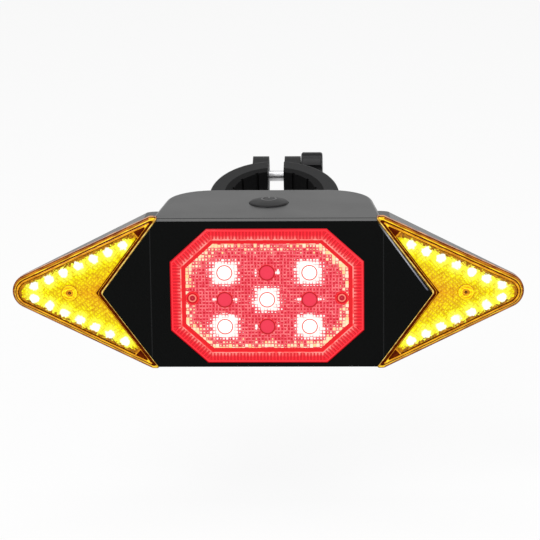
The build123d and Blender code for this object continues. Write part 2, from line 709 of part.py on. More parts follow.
def wing_board():
    board = plate(arrow(WING_BOARD_EDGE), WING_BOARD_FRONT, WING_BOARD_BACK)
    hole = rod(SMALL_SCREW[0] + HOLE_GAP, 0, WING_BOARD_BACK + OVER)
    return swing(board - Pos(LENS_BOSS_X, 0, 0) * hole)


def arrow_leds():
    body = led(ARROW_LED_R, ARROW_LED_TOP, WING_BOARD_FRONT)
    return group([swing(Pos(x, 0, z) * body) for x, z in led_row()])


def arrow_lens_screws():
    length = lens_screw_seat() - ARROW_SET - ARROW_SKIN - THREAD_GAP
    body = swing(Pos(LENS_BOSS_X, lens_screw_seat(), 0) * screw(SMALL_SCREW, length))
    return group([body, mirror(body, about=Plane.YZ)])


def case_screws():
    body = screw(CASE_SCREW, CASE_HEAD_SEAT - BEZEL_T - THREAD_GAP)
    bodies = [swing(Pos(CASE_POST_X, CASE_HEAD_SEAT, side * CASE_POST_Z) * body) for side in (1, -1)]
    return group(bodies + [mirror(shape, about=Plane.YZ) for shape in bodies])


def battery():
    cell = cross_rod(CELL_R, -CELL_LENGTH / 2, CELL_LENGTH / 2)
    cap = cross_rod(CELL_CAP_R, CELL_LENGTH / 2, CELL_LENGTH / 2 + CELL_CAP_T)
    return Pos(0, CELL_Y, CELL_Z) * (cell + cap)


def battery_cradle():
    half = CELL_R + CRADLE_GAP + CRADLE_WALL
    low = CELL_Z - half
    trough = block(CRADLE_LENGTH, CELL_Y - half, CELL_Y + half, low, low + CRADLE_RISE)
    cell = cross_rod(CELL_R + CRADLE_GAP, -CRADLE_LENGTH, CRADLE_LENGTH)
    return trough - Pos(0, CELL_Y, CELL_Z) * cell


def lead(points):
    """A round wire along points, square to what it meets at both ends."""
    path = FilletPolyline(*points, radius=LEAD_BEND_R)
    start = Plane(origin=path @ 0, z_dir=path % 0)
    return sweep(start * Circle(LEAD_R), path=path)


def on_wing(x, depth):
    """Where a place of the flat right wing lies once the wing is swung back."""
    out, angle = x - FOLD_X, radians(SWEEP)
    return (FOLD_X + out * cos(angle) - depth * sin(angle), out * sin(angle) + depth * cos(angle), 0)


def wing_lead():
    """The wire from the main board out to the right arrow's board."""
    start_x = MAIN_BOARD_WIDTH / 2 - 2 * LEAD_BEND_R
    end_x = LENS_BOSS_X - SMALL_SCREW[1] - BOSS_WALL - 2 * LEAD_BEND_R
    turn = MAIN_BOARD_BACK + 2 * LEAD_BEND_R
    return lead([(start_x, MAIN_BOARD_BACK, 0), (start_x, turn, 0), (FOLD_X, turn, 0),
                 on_wing(FOLD_X + (NOTCH_X - FOLD_X) / 2, lead_depth()),
                 on_wing(end_x, lead_depth()), on_wing(end_x, WING_BOARD_BACK)])


def battery_leads():
    """The wires from the cell's two ends up to the main board."""
    end = CELL_LENGTH / 2
    up = CELL_Z + CELL_R + 2 * LEAD_BEND_R
    run = end - 2 * LEAD_BEND_R
    wire = [(run, CELL_Y, CELL_Z + CELL_R), (run, CELL_Y, up + LEAD_R), (run, MAIN_BOARD_BACK, up + LEAD_R)]
    return group([lead(wire), lead([(-x, y, height) for x, y, height in wire])])


def radio_module():
    width, thick, height = RADIO_SIZE
    can_width, can_thick, can_height = RADIO_CAN
    board = Pos(0, MAIN_BOARD_BACK + thick / 2, 0) * Box(width, thick, height)
    can = Pos(0, MAIN_BOARD_BACK + thick + can_thick / 2, 0) * Box(can_width, can_thick, can_height)
    return Pos(RADIO_X, 0, RADIO_Z) * (board + can)


def charge_board():
    low = charge_board_low()
    board = block(CHARGE_BOARD_WIDTH, CHARGE_BOARD_Y, CHARGE_BOARD_Y + CHARGE_BOARD_T,
                  low, low + CHARGE_BOARD_HEIGHT)
    hole = rod(SMALL_SCREW[0] + HOLE_GAP, CHARGE_BOARD_Y - OVER, CHARGE_BOARD_Y + CHARGE_BOARD_T + OVER)
    return board - Pos(0, 0, charge_screw_z()) * hole


def charge_socket():
    low = charge_board_low()
    near, far = SOCKET_Y - SOCKET_T / 2, SOCKET_Y + SOCKET_T / 2
    shell = block(SOCKET_WIDTH, near, far, low, low + SOCKET_LENGTH)
    shell -= block(SOCKET_WIDTH - 2 * SOCKET_WALL, near + SOCKET_WALL, far - SOCKET_WALL,
                   low - OVER, low + SOCKET_LENGTH - SOCKET_WALL)
    width, thick = SOCKET_TONGUE
    return shell + block(width, SOCKET_Y - thick / 2, SOCKET_Y + thick / 2, low + thick, low + SOCKET_LENGTH)


def port_cover():
    low, high = COVER_AXIS_Z - COVER_T / 2, COVER_AXIS_Z + COVER_T / 2
    end = COVER_AXIS_Y + COVER_LENGTH
    flap = block(COVER_WIDTH, COVER_AXIS_Y, end, low, high)
    flap += Pos(0, COVER_AXIS_Y, COVER_AXIS_Z) * cross_rod(COVER_T / 2, -COVER_WIDTH / 2, COVER_WIDTH / 2)
    width, thick, rise = COVER_PLUG
    flap += block(width, SOCKET_Y - thick / 2, SOCKET_Y + thick / 2, high, high + rise)
    width, reach, drop = COVER_LIP
    return flap + block(width, end - reach, end, low - drop, low)


def power_button():
    top = HALF_HEIGHT + BUTTON_PROUD
    under = HALF_HEIGHT - WALL - BUTTON_GAP
    shoulder = top - BUTTON_DOME_R + sqrt(BUTTON_DOME_R ** 2 - BUTTON_R ** 2)
    walls = Polyline((0, top), (0, under), (BUTTON_R, under), (BUTTON_R, shoulder))
    dome = RadiusArc((BUTTON_R, shoulder), (0, top), -BUTTON_DOME_R)
    profile = make_face(walls + dome)
    profile = fillet(profile.vertices().group_by(Axis.X)[-1].sort_by(Axis.Y)[-1], BUTTON_EDGE_R)
    cap = revolve(Plane.XZ * profile, Axis.Z)
    foot = under - BUTTON_FLANGE_T
    cap += Pos(0, 0, (under + foot) / 2) * Cylinder(BUTTON_R + BUTTON_FLANGE, under - foot)
    stem_end = switch_board_top() + SWITCH_T + PLUNGER_SHOW
    cap += Pos(0, 0, (foot + stem_end) / 2) * Cylinder(STEM_R, foot - stem_end)
    return Pos(0, BUTTON_Y, 0) * cap


def switch_plunger():
    top = switch_board_top() + SWITCH_T + PLUNGER_SHOW
    return Pos(0, BUTTON_Y, top - PLUNGER_LENGTH / 2) * Cylinder(PLUNGER_R, PLUNGER_LENGTH)


def switch_body():
    low = switch_board_top()
    body = Pos(0, 0, low + SWITCH_T / 2) * Box(SWITCH_SIZE, SWITCH_SIZE, SWITCH_T)
    well = PLUNGER_LENGTH - PLUNGER_SHOW + 2 * BUTTON_TRAVEL
    body -= Pos(0, 0, low + SWITCH_T - well / 2) * Cylinder(PLUNGER_R + BUTTON_GAP, well)
    return Pos(0, BUTTON_Y, 0) * body


def switch_board():
    width, depth, thick = SWITCH_BOARD_SIZE
    board = Pos(0, BUTTON_Y, switch_board_top() - thick / 2) * Box(width, depth, thick)
    for side in (1, -1):
        board -= Pos(side * SWITCH_POST_X, BUTTON_Y, switch_board_top()) * Cylinder(
            SMALL_SCREW[0] + HOLE_GAP, 2 * thick + OVER)
    return board


def slide_rail():
    rail = block(RAIL_WIDTH, RAIL_FRONT, RAIL_BACK, RAIL_BOTTOM, RAIL_TOP)
    ceiling = RAIL_TOP - RAIL_CAP
    rail -= block(SLOT_WIDTH, SLOT_FRONT, SLOT_BACK, RAIL_BOTTOM - OVER, ceiling)
    rail -= block(SLOT_NECK, SLOT_FRONT, RAIL_BACK + OVER, RAIL_BOTTOM - OVER, ceiling)
    radius, head_radius, _ = CASE_SCREW
    for x, z in rail_screw_places():
        rail -= Pos(x, 0, z) * rod(radius + HOLE_GAP, RAIL_FRONT - OVER, RAIL_BACK)
        rail -= Pos(x, 0, z) * rod(head_radius + HOLE_GAP, RAIL_FRONT + RAIL_SCREW_DEPTH, RAIL_BACK + OVER)
    return rail


def rail_screws():
    body = screw(CASE_SCREW, RAIL_SCREW_DEPTH + WALL + RAIL_SCREW_END - OVER)
    return group([Pos(x, RAIL_FRONT + RAIL_SCREW_DEPTH, z) * body for x, z in rail_screw_places()])


def bracket_shoe():
    low = SHOE_TOP - SHOE_HEIGHT
    shoe = block(SLOT_WIDTH - 2 * RAIL_FIT, SLOT_FRONT + RAIL_FIT, SLOT_BACK - RAIL_FIT, low, SHOE_TOP)
    shoe += block(SLOT_NECK - 2 * RAIL_FIT, SLOT_BACK - RAIL_FIT, PLATE_BACK, low, SHOE_TOP)
    shoe += block(SHOE_PLATE_WIDTH, PLATE_FRONT, PLATE_BACK, low - SHOE_PLATE_DROP, SHOE_TOP)
    ear = block(EAR_T, PLATE_FRONT, PIVOT_Y, -PIVOT_DROP - EAR_R, -PIVOT_DROP + EAR_R)
    ear += Pos(0, PIVOT_Y, -PIVOT_DROP) * cross_rod(EAR_R, -EAR_T / 2, EAR_T / 2)
    shoe += both_sides(Pos(EAR_IN + EAR_T / 2, 0, 0) * ear)
    return shoe - Pos(0, PIVOT_Y, -PIVOT_DROP) * cross_rod(BOLT_R + BOLT_FIT, -EAR_OUT - OVER, EAR_OUT + OVER)


def at_pivot(shape):
    """A shape drawn about the X axis, moved to the tilt pivot."""
    return Pos(0, PIVOT_Y, -PIVOT_DROP) * shape


def tilt_bolt():
    head = EAR_OUT + WASHER_T
    bolt = cross_rod(BOLT_R, -head - NUT_T - BOLT_END, head)
    bolt += cross_rod(BOLT_HEAD_R, head, head + BOLT_HEAD_T)
    socket = extrude(Plane.YZ * RegularPolygon(BOLT_SOCKET_R, 6), amount=BOLT_SOCKET_DEPTH + OVER)
    return at_pivot(bolt - Pos(head + BOLT_HEAD_T - BOLT_SOCKET_DEPTH, 0, 0) * socket)


def tilt_nut():
    nut = extrude(Plane.YZ * RegularPolygon(NUT_R, 6), amount=NUT_T)
    nut -= cross_rod(BOLT_R + THREAD_GAP, -OVER, NUT_T + OVER)
    return at_pivot(Pos(-EAR_OUT - WASHER_T - NUT_T, 0, 0) * nut)


def tilt_washers():
    ring = cross_rod(WASHER_R, EAR_OUT, EAR_OUT + WASHER_T)
    ring -= cross_rod(BOLT_R + BOLT_FIT, EAR_OUT - OVER, EAR_OUT + WASHER_T + OVER)
    return at_pivot(group([ring, mirror(ring, about=Plane.YZ)]))


def clamp_ring():
    ring = Cylinder(RING_R, RING_HEIGHT)
    ring = fillet(ring.edges().filter_by(GeomType.CIRCLE), RING_EDGE_R)
    lug = block(LUG_WIDTH, -PIVOT_REACH, -RING_BORE, -LUG_R, LUG_R)
    lug += Pos(0, -PIVOT_REACH, 0) * cross_rod(LUG_R, -LUG_WIDTH / 2, LUG_WIDTH / 2)
    half = SPLIT / 2 + PINCH_T
    ears = block(2 * half, RING_BORE, PINCH_Y, -PINCH_R, PINCH_R)
    ears += Pos(0, PINCH_Y, 0) * cross_rod(PINCH_R, -half, half)
    ring += lug + ears
    ring -= Cylinder(RING_BORE, RING_HEIGHT + OVER)
    ring -= block(SPLIT, 0, PINCH_Y + PINCH_R + OVER, -RING_HEIGHT, RING_HEIGHT)
    ring -= Pos(0, -PIVOT_REACH, 0) * cross_rod(BOLT_R + BOLT_FIT, -LUG_WIDTH, LUG_WIDTH)
    ring -= Pos(0, PINCH_Y, 0) * cross_rod(PINCH_SCREW_R + PINCH_FIT, -RING_R, RING_R)
    return ring - nut_space(RAIL_FIT)


def nut_space(gap):
    """The square nut's place in the outside of the left pinch ear."""
    side = NUT_SIDE + 2 * gap
    far = -SPLIT / 2 - PINCH_T
    return Pos(far + (SQUARE_NUT_T - gap) / 2, PINCH_Y, 0) * Box(SQUARE_NUT_T + gap, side, side)


def clamp_pad():
    pad = Cylinder(RING_BORE, RING_HEIGHT) - Cylinder(POST_R, RING_HEIGHT + OVER)
    pad -= block(SPLIT, 0, RING_R, -RING_HEIGHT, RING_HEIGHT)
    width, depth = PAD_GROOVE
    groove = Pos(POST_R, 0, 0) * Box(2 * depth, width, RING_HEIGHT + OVER)
    for step in range(PAD_GROOVE_COUNT):
        pad -= Rot(0, 0, 360 * (step + 0.5) / PAD_GROOVE_COUNT) * groove
    return pad


def clamp_nut():
    nut = nut_space(0) & block(RING_R * 2, 0, RING_R * 2, -RING_HEIGHT, RING_HEIGHT)
    return nut - Pos(0, PINCH_Y, 0) * cross_rod(PINCH_SCREW_R + PINCH_FIT, -RING_R, 0)


def clamp_knob():
    near = SPLIT / 2 + PINCH_T + KNOB_GAP
    knob = cross_rod(KNOB_R, near, near + KNOB_LENGTH)
    knob = fillet(knob.edges().filter_by(GeomType.CIRCLE), KNOB_EDGE_R)
    flute = Pos(0, KNOB_R + FLUTE_OUT, 0) * cross_rod(FLUTE_R, near - OVER, near + KNOB_LENGTH + OVER)
    for step in range(KNOB_FLUTE_COUNT):
        knob -= Rot(360 * step / KNOB_FLUTE_COUNT, 0, 0) * flute
    return Pos(0, PINCH_Y, 0) * (knob - cross_rod(PINCH_SCREW_R, near - OVER, near + KNOB_LENGTH / 2))


def clamp_screw():
    ear = SPLIT / 2 + PINCH_T
    return Pos(0, PINCH_Y, 0) * cross_rod(PINCH_SCREW_R, -ear - SCREW_END, ear + KNOB_GAP + KNOB_LENGTH / 2)


def pieces():
    """Every node of the lamp by name, in its place."""
    middle = {
        "front_bezel": front_bezel(), "rear_housing": rear_housing(), "bezel_gasket": bezel_gasket(),
        "stop_lens": stop_lens(), "stop_lens_gasket": stop_lens_gasket(),
        "stop_reflector": stop_reflector(), "stop_leds": stop_leds(), "stop_lens_screws": stop_lens_screws(),
        "main_board": main_board(), "board_screws": board_screws(), "radio_module": radio_module(),
        "arrow_lens_screws": arrow_lens_screws(), "case_screws": case_screws(),
        "battery": battery(), "battery_cradle": battery_cradle(), "battery_leads": battery_leads(),
        "charge_board": charge_board(), "charge_socket": charge_socket(), "port_cover": port_cover(),
        "power_button": power_button(), "switch_plunger": switch_plunger(),
        "switch_body": switch_body(), "switch_board": switch_board(),
        "slide_rail": slide_rail(), "rail_screws": rail_screws(), "bracket_shoe": bracket_shoe(),
        "tilt_bolt": tilt_bolt(), "tilt_nut": tilt_nut(), "tilt_washers": tilt_washers(),
    }
    sides = {
        "arrow_lens": arrow_lens(), "lens_gasket": arrow_gasket(), "reflector": arrow_tray(),
        "board": wing_board(), "leds": arrow_leds(), "wing_lead": wing_lead(),
    }
    clamp = {
        "clamp_ring": clamp_ring(), "clamp_pad": clamp_pad(), "clamp_nut": clamp_nut(),
        "clamp_knob": clamp_knob(), "clamp_screw": clamp_screw(),
    }
    nodes = {name: LAMP * shape for name, shape in middle.items()}
    nodes.update({"right_" + name: LAMP * shape for name, shape in sides.items()})
    nodes.update({"left_" + name: LAMP * mirror(shape, about=Plane.YZ) for name, shape in sides.items()})
    nodes.update({name: CLAMP * shape for name, shape in clamp.items()})
    return nodes


def main():
    os.makedirs("parts", exist_ok=True)
    for name, shape in pieces().items():
        export_step(shape, f"parts/{name}.step")


main()
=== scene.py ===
"""A bicycle's rear lamp with a brake light between two arrows: moulded lenses, finishes and studio."""

from math import atan2, ceil, cos, floor, hypot, pi, radians, sin, tan

import bmesh
import bpy
from bpy.props import FloatProperty, FloatVectorProperty, PointerProperty
from mathutils import Matrix, Vector


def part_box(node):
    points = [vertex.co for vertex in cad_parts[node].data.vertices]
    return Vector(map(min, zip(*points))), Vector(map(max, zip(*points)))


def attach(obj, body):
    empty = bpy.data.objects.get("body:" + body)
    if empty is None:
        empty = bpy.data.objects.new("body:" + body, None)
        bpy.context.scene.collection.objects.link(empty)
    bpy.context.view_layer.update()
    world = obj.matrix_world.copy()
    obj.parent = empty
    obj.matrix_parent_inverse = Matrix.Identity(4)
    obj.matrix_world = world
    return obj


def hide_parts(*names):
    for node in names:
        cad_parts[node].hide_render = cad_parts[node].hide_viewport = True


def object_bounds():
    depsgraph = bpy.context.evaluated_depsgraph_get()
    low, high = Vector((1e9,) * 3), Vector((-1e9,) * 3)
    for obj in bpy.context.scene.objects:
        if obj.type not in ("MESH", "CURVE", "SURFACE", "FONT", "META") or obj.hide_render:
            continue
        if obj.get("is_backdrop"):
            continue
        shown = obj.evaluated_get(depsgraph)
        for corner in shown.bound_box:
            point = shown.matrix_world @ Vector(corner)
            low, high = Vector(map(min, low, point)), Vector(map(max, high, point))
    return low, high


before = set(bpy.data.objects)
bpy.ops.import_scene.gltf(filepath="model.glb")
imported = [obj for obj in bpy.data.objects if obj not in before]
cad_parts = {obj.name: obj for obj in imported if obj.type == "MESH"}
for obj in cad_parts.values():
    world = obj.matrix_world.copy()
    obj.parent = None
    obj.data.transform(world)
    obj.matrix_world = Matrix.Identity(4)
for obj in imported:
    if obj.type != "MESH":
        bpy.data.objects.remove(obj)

bl_info = {
    "name": "Bicycle turn signal light",
    "version": (1, 0, 0),
    "blender": (4, 5, 0),
    "location": "View3D > Sidebar > Turn Light",
    "description": "Moulded lenses, finishes and studio for the rear lamp",
    "category": "Object",
}

MM = 0.001
CAD_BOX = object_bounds()
PANEL_LOW, PANEL_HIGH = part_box("front_bezel")
LAMP_ORIGIN = Vector((0, PANEL_LOW.y, (PANEL_LOW.z + PANEL_HIGH.z) / 2))
BUTTON_LOW, BUTTON_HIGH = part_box("power_button")
STOP_LOW, STOP_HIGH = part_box("stop_lens")

# Arrow outline in the flat wing's own plane, millimetres
FOLD_X = 40.0
SWEEP = radians(3.0)
ARROW_VERTEX_X = 96.7
ARROW_BLUNT_X = 40.3
ARROW_INNER_X = 37.0
ARROW_INNER_Z = 27.2
NOTCH_X = 57.0
ARROW_NOSE_R = 6.2
NOTCH_R = 0.6
NOTCH_RUN = (NOTCH_X - ARROW_INNER_X) / ARROW_INNER_Z
EDGE_RUN = (ARROW_VERTEX_X - ARROW_BLUNT_X) / ARROW_INNER_Z
NOTCH_LENGTH = hypot(1, NOTCH_RUN)
EDGE_LENGTH = hypot(1, EDGE_RUN)
NOSE_CENTRE_X = ARROW_VERTEX_X - ARROW_NOSE_R * EDGE_LENGTH
NOSE_POINTS = 9
TIP_POINTS = (4, 5)

# Arrow lens. Depths count back from the panel's face, for prisms as peak, valley and underside
ARROW_EDGE = 2.2
ARROW_FOOT = 3.8
ARROW_BACK = 2.1
ARROW_PRISMS = (0.84, 1.14, 1.6)
PRISM_STRETCH = 1.3
PRISM_SPLIT = 0.01
BOSS_X = 68.4
LED_ROW_START = (49.5, 17.2)
LED_ROW_END = (80.8, 2.2)
LED_STEPS = 6

# Brake light lens
STOP_HALF_WIDTH = STOP_HIGH.x / MM
STOP_HALF_HEIGHT = (STOP_HIGH.z - STOP_LOW.z) / MM / 2
STOP_MIDDLE = ((STOP_LOW.z + STOP_HIGH.z) / 2 - LAMP_ORIGIN.z) / MM
STOP_HALF_TOP = 20.6
STOP_HALF_SIDE = 12.2
STOP_PROUD = 0.4
STOP_BACK = 1.8
STOP_GROOVE = -0.02
STOP_RIBS = (-0.36, 0.04, 0.3)
STOP_PRISMS = (-0.1, 0.24, 0.6)
STOP_PITCH = (14.6, 9.6)
STOP_GRID_DROP = 1.8
STOP_BOSS = (25.7, 1.2)

# Mark on the power button
MARK_RADIUS = 2.5
MARK_WIDTH = 0.9
MARK_BACK = 1.3

LATHE_SIDES = 40
SHARP_ANGLE = radians(30.0)
FLOOR_REACH = 4.0

# Lamps of the studio: name, place, size and watts
STUDIO_LAMPS = (
    ("key", (-0.55, -0.65, 0.75), (0.6, 0.6), 6),
    ("fill", (0.75, -0.55, 0.35), (0.7, 0.7), 3),
    ("top", (0.0, 0.1, 0.95), (0.9, 0.6), 4.6),
)


def mm_prop(title, hint, value):
    """A length in millimetres that a user may change."""
    return FloatProperty(name=title, description=hint, default=value, min=0.01)


def colour_prop(title, hint, value):
    """A colour that a user may change."""
    return FloatVectorProperty(name=title, description=hint, default=value, size=3, subtype="COLOR",
                               min=0.0, max=1.0)


class StopLensSettings(bpy.types.PropertyGroup):
    """Sizes of the brake light lens."""
    rib_pitch: mm_prop("Rib pitch", "Distance between the ribs of the border, in mm", 1.15)
    band_start: mm_prop("Band start", "Distance from the edge to the ribs, in mm", 0.8)
    band_end: mm_prop("Band end", "Distance from the edge to the ribs' inner end, in mm", 3.5)
    field_start: mm_prop("Field start", "Distance from the edge to the prisms, in mm", 5.3)
    prism_width: mm_prop("Prism width", "Width of one prism, in mm", 1.12)
    prism_height: mm_prop("Prism height", "Height of one prism, in mm", 1.18)
    window_radius: mm_prop("Window radius", "Radius of a round window, in mm", 2.9)
    boss_radius: mm_prop("Boss radius", "Radius of a screw boss, in mm", 2.4)


class ArrowLensSettings(bpy.types.PropertyGroup):
    """Sizes of the arrow lenses."""
    prism_pitch: mm_prop("Prism pitch", "Width of one prism, in mm", 1.0)
    outer_gap: mm_prop("Outer gap", "From the outer edges to the prisms, in mm", 2.55)
    notch_gap: mm_prop("Notch gap", "From the notch edges to the prisms, in mm", 1.85)
    pocket_top: mm_prop("Pocket", "Height at which the prisms end and the empty pocket starts, in mm", 21.6)
    boss_radius: mm_prop("Boss radius", "Radius of the screw boss, in mm", 2.8)


class FinishSettings(bpy.types.PropertyGroup):
    """Colours of the lamp."""
    housing: colour_prop("Housing", "Satin black plastic", (0.0034, 0.0037, 0.0036))
    red: colour_prop("Red", "Brake light lens", (0.64, 0.012, 0.024))
    red_light: colour_prop("Red light", "Lit prisms of the brake light", (0.96, 0.095, 0.14))
    amber: colour_prop("Amber", "Arrow lens", (0.58, 0.20, 0.008))
    yellow: colour_prop("Yellow", "Arrow lens near its lights", (1.0, 0.94, 0.0))
    # Brown is painted shade in the arrow lens's recesses and dark lines.
    brown: colour_prop("Brown", "Dark recesses of the arrow lens", (0.13, 0.016, 0.0005))


class StageSettings(bpy.types.PropertyGroup):
    """Camera and studio."""
    azimuth: FloatProperty(name="Azimuth", description="Camera's turn about the lamp", default=radians(2.1),
                           subtype="ANGLE")
    elevation: FloatProperty(name="Elevation", description="Camera's height above the lamp's axis",
                             default=radians(15.3), subtype="ANGLE")
    roll: FloatProperty(name="Roll", description="Camera's turn about its own axis", default=radians(-0.7),
                        subtype="ANGLE")
    distance: FloatProperty(name="Distance", description="Camera to lamp", default=1.0, unit="LENGTH")
    lens: FloatProperty(name="Lens", description="Focal length in mm on a 36 mm sensor", default=194.4)
    target: FloatVectorProperty(name="Target", description="Point in the middle of the picture",
                                default=(0.0011, -0.0856, 0.0035), subtype="TRANSLATION")
    world_level: FloatProperty(name="World light", description="Strength of the even light", default=0.24)
    floor_drop: FloatProperty(name="Floor drop", description="Floor's depth below the lamp", default=0.05,
                              unit="LENGTH")


class Number:
    """A number in a material, on which Python's arithmetic adds Math nodes."""

    def __init__(self, finish, socket):
        self.finish, self.socket = finish, socket

    def __add__(self, other):
        return self.finish.math("ADD", self, other)

    def __radd__(self, other):
        return self.finish.math("ADD", other, self)

    def __sub__(self, other):
        return self.finish.math("SUBTRACT", self, other)

    def __rsub__(self, other):
        return self.finish.math("SUBTRACT", other, self)

    def __mul__(self, other):
        return self.finish.math("MULTIPLY", self, other)

    def __rmul__(self, other):
        return self.finish.math("MULTIPLY", other, self)

    def __truediv__(self, other):
        return self.finish.math("DIVIDE", self, other)

    def __abs__(self):
        return self.finish.math("ABSOLUTE", self)

    def __floor__(self):
        return self.finish.math("FLOOR", self)

    def __round__(self):
        return self.finish.math("ROUND", self)


class Finish:
    """The nodes of a material, or of a world, in the making."""

    def __init__(self, name="", owner=None):
        self.owner = owner or bpy.data.materials.new(name)
        self.owner.use_nodes = True
        self.tree = self.owner.node_tree
        self.tree.nodes.clear()

    def node(self, kind, settings=(), **inputs):
        """Adds a node: settings first, then sockets by name, with _ for a space, or as in_N by number."""
        made = self.tree.nodes.new(kind)
        for name, value in dict(settings).items():
            if name == "stops":
                self.set_stops(made.color_ramp, value)
            else:
                setattr(made, name, value)
        for name, value in inputs.items():
            key = int(name[3:]) if name.startswith("in_") else name.replace("_", " ")
            self.feed(made.inputs[key], value)
        return made

    def set_stops(self, ramp, stops):
        """Gives a colour ramp its stops, as (place, colour) pairs."""
        while len(ramp.elements) < len(stops):
            ramp.elements.new(0.5)
        for element, (place, colour) in zip(ramp.elements, stops):
            element.position = place
            element.color = (*colour, 1)

    def feed(self, socket, value):
        """Links a socket to another's output, or sets its value."""
        if isinstance(value, Number):
            value = value.socket
        if isinstance(value, bpy.types.NodeSocket):
            self.tree.links.new(value, socket)
        elif hasattr(socket.default_value, "__len__"):
            values = tuple(value)
            socket.default_value = values + (1,) * (len(socket.default_value) - len(values))
        else:
            socket.default_value = value

    def math(self, operation, *values):
        inputs = {f"in_{index}": value for index, value in enumerate(values)}
        return Number(self, self.node("ShaderNodeMath", {"operation": operation}, **inputs).outputs[0])

    def most(self, *values):
        return self.math("MAXIMUM", *values)

    def least(self, *values):
        return self.math("MINIMUM", *values)

    def reach(self, across, up):
        """How far a place is from the middle that its two distances are taken from."""
        return self.math("SQRT", across * across + up * up)

    def place(self):
        """Place on the object in millimetres of the lamp's own frame: across, depth and height."""
        where = self.node("ShaderNodeTexCoord").outputs["Object"]
        parts = self.node("ShaderNodeSeparateXYZ", in_0=where)
        return [(Number(self, parts.outputs[axis]) - LAMP_ORIGIN[axis]) * (1 / MM) for axis in range(3)]

    def facing(self):
        """The surface's own direction as three numbers."""
        parts = self.node("ShaderNodeSeparateXYZ", in_0=self.node("ShaderNodeNewGeometry").outputs["Normal"])
        return [Number(self, parts.outputs[axis]) for axis in range(3)]

    def point(self, x, y, z):
        return self.node("ShaderNodeCombineXYZ", in_0=x, in_1=y, in_2=z).outputs[0]

    def noise(self, scale, detail=2.0, vector=None, rough=0.5):
        """Soft noise from 0 to 1. The scale is in features a metre, or a unit of the vector given."""
        where = vector or self.node("ShaderNodeTexCoord").outputs["Object"]
        made = self.node("ShaderNodeTexNoise", Vector=where, Scale=scale, Detail=detail, Roughness=rough)
        return Number(self, made.outputs[0])

    def ramp(self, value, stops):
        """Colour looked up by a number from 0 to 1."""
        return self.node("ShaderNodeValToRGB", {"stops": stops}, Fac=value).outputs[0]

    def step(self, value, low, high):
        """0 below low, 1 above high, and smooth between them."""
        made = self.node("ShaderNodeMapRange", {"interpolation_type": "SMOOTHSTEP"},
                         Value=value, From_Min=low, From_Max=high)
        return Number(self, made.outputs[0])

    def fall(self, value, low, high):
        """1 below low, 0 above high, and straight between them."""
        made = self.node("ShaderNodeMapRange", Value=value, From_Min=low, From_Max=high,
                         To_Min=1.0, To_Max=0.0)
        return Number(self, made.outputs[0])

    def mix(self, factor, first, second):
        """Colour between first, at 0, and second, at 1."""
        made = self.node("ShaderNodeMix", {"data_type": "RGBA"}, in_0=factor, in_6=first, in_7=second)
        return made.outputs[2]

    def toned(self, factor, colour, low, high):
        """Colour between two brightnesses of one colour."""
        return self.mix(factor, [part * low for part in colour], [part * high for part in colour])

    def product(self, first, second):
        """Two colours or vectors multiplied part by part."""
        made = self.node("ShaderNodeVectorMath", {"operation": "MULTIPLY"}, in_0=first, in_1=second)
        return made.outputs[0]

    def bump(self, height, distance, strength=1.0):
        return self.node("ShaderNodeBump", Height=height, Distance=distance, Strength=strength).outputs[0]

    def done(self, **sockets):
        """Ends in one Principled shader with these sockets."""
        shader = self.node("ShaderNodeBsdfPrincipled", **sockets)
        self.node("ShaderNodeOutputMaterial", in_0=shader.outputs[0])
        return self.owner

    def glow(self, colour, strength, body, roughness, specular=0.12):
        """Ends in plastic that glows in its own colour. body is how bright it is without the glow."""
        dim = self.node("ShaderNodeVectorMath", {"operation": "SCALE"}, in_0=colour, Scale=body).outputs[0]
        return self.done(Base_Color=dim, Roughness=roughness, Specular_IOR_Level=specular,
                         Emission_Color=colour, Emission_Strength=strength)


def wing_place(finish):
    """A place on either wing in the flat wing's plane: distance from the middle, and height."""
    across, depth, height = finish.place()
    out = abs(across) - FOLD_X
    return FOLD_X + out * cos(SWEEP) + depth * sin(SWEEP), height


def past_notch(x, up):
    """Distance from the notch's edge into the arrow lens, in millimetres."""
    return (x - NOTCH_X + up * NOTCH_RUN) / NOTCH_LENGTH


def inside_edge(x, up):
    """Distance from the outer edge into the arrow lens, in millimetres."""
    return (ARROW_VERTEX_X - x - up * EDGE_RUN) / EDGE_LENGTH


def moulded_plastic(name, colour, roughness, grain, specular):
    """Satin moulded plastic: fine spark-eroded grain, with slight rubbed patches."""
    finish = Finish(name)
    wide = finish.noise(60.0, 3.0)
    return finish.done(Base_Color=finish.toned(wide, colour, 0.86, 1.16), Specular_IOR_Level=specular,
                       Roughness=roughness - 0.05 + 0.1 * wide,
                       Normal=finish.bump(finish.noise(grain, 3.0), 0.00003, 0.5))


def housing_plastic(name, colour):
    """Satin black plastic, with more sheen along the sloping tops of the wings."""
    finish = Finish(name)
    wide = finish.noise(60.0, 3.0)
    normal_x, _, normal_z = finish.facing()
    slope = finish.step(abs(normal_x), 0.25, 0.4) * finish.step(normal_z, 0.5, 0.8)
    return finish.done(Base_Color=finish.toned(wide, colour, 0.86, 1.16), Specular_IOR_Level=0.37,
                       Roughness=0.33 + 0.1 * wide, Coat_Weight=0.4 * slope, Coat_Roughness=0.3,
                       Normal=finish.bump(finish.noise(2400.0, 3.0), 0.00003, 0.5))


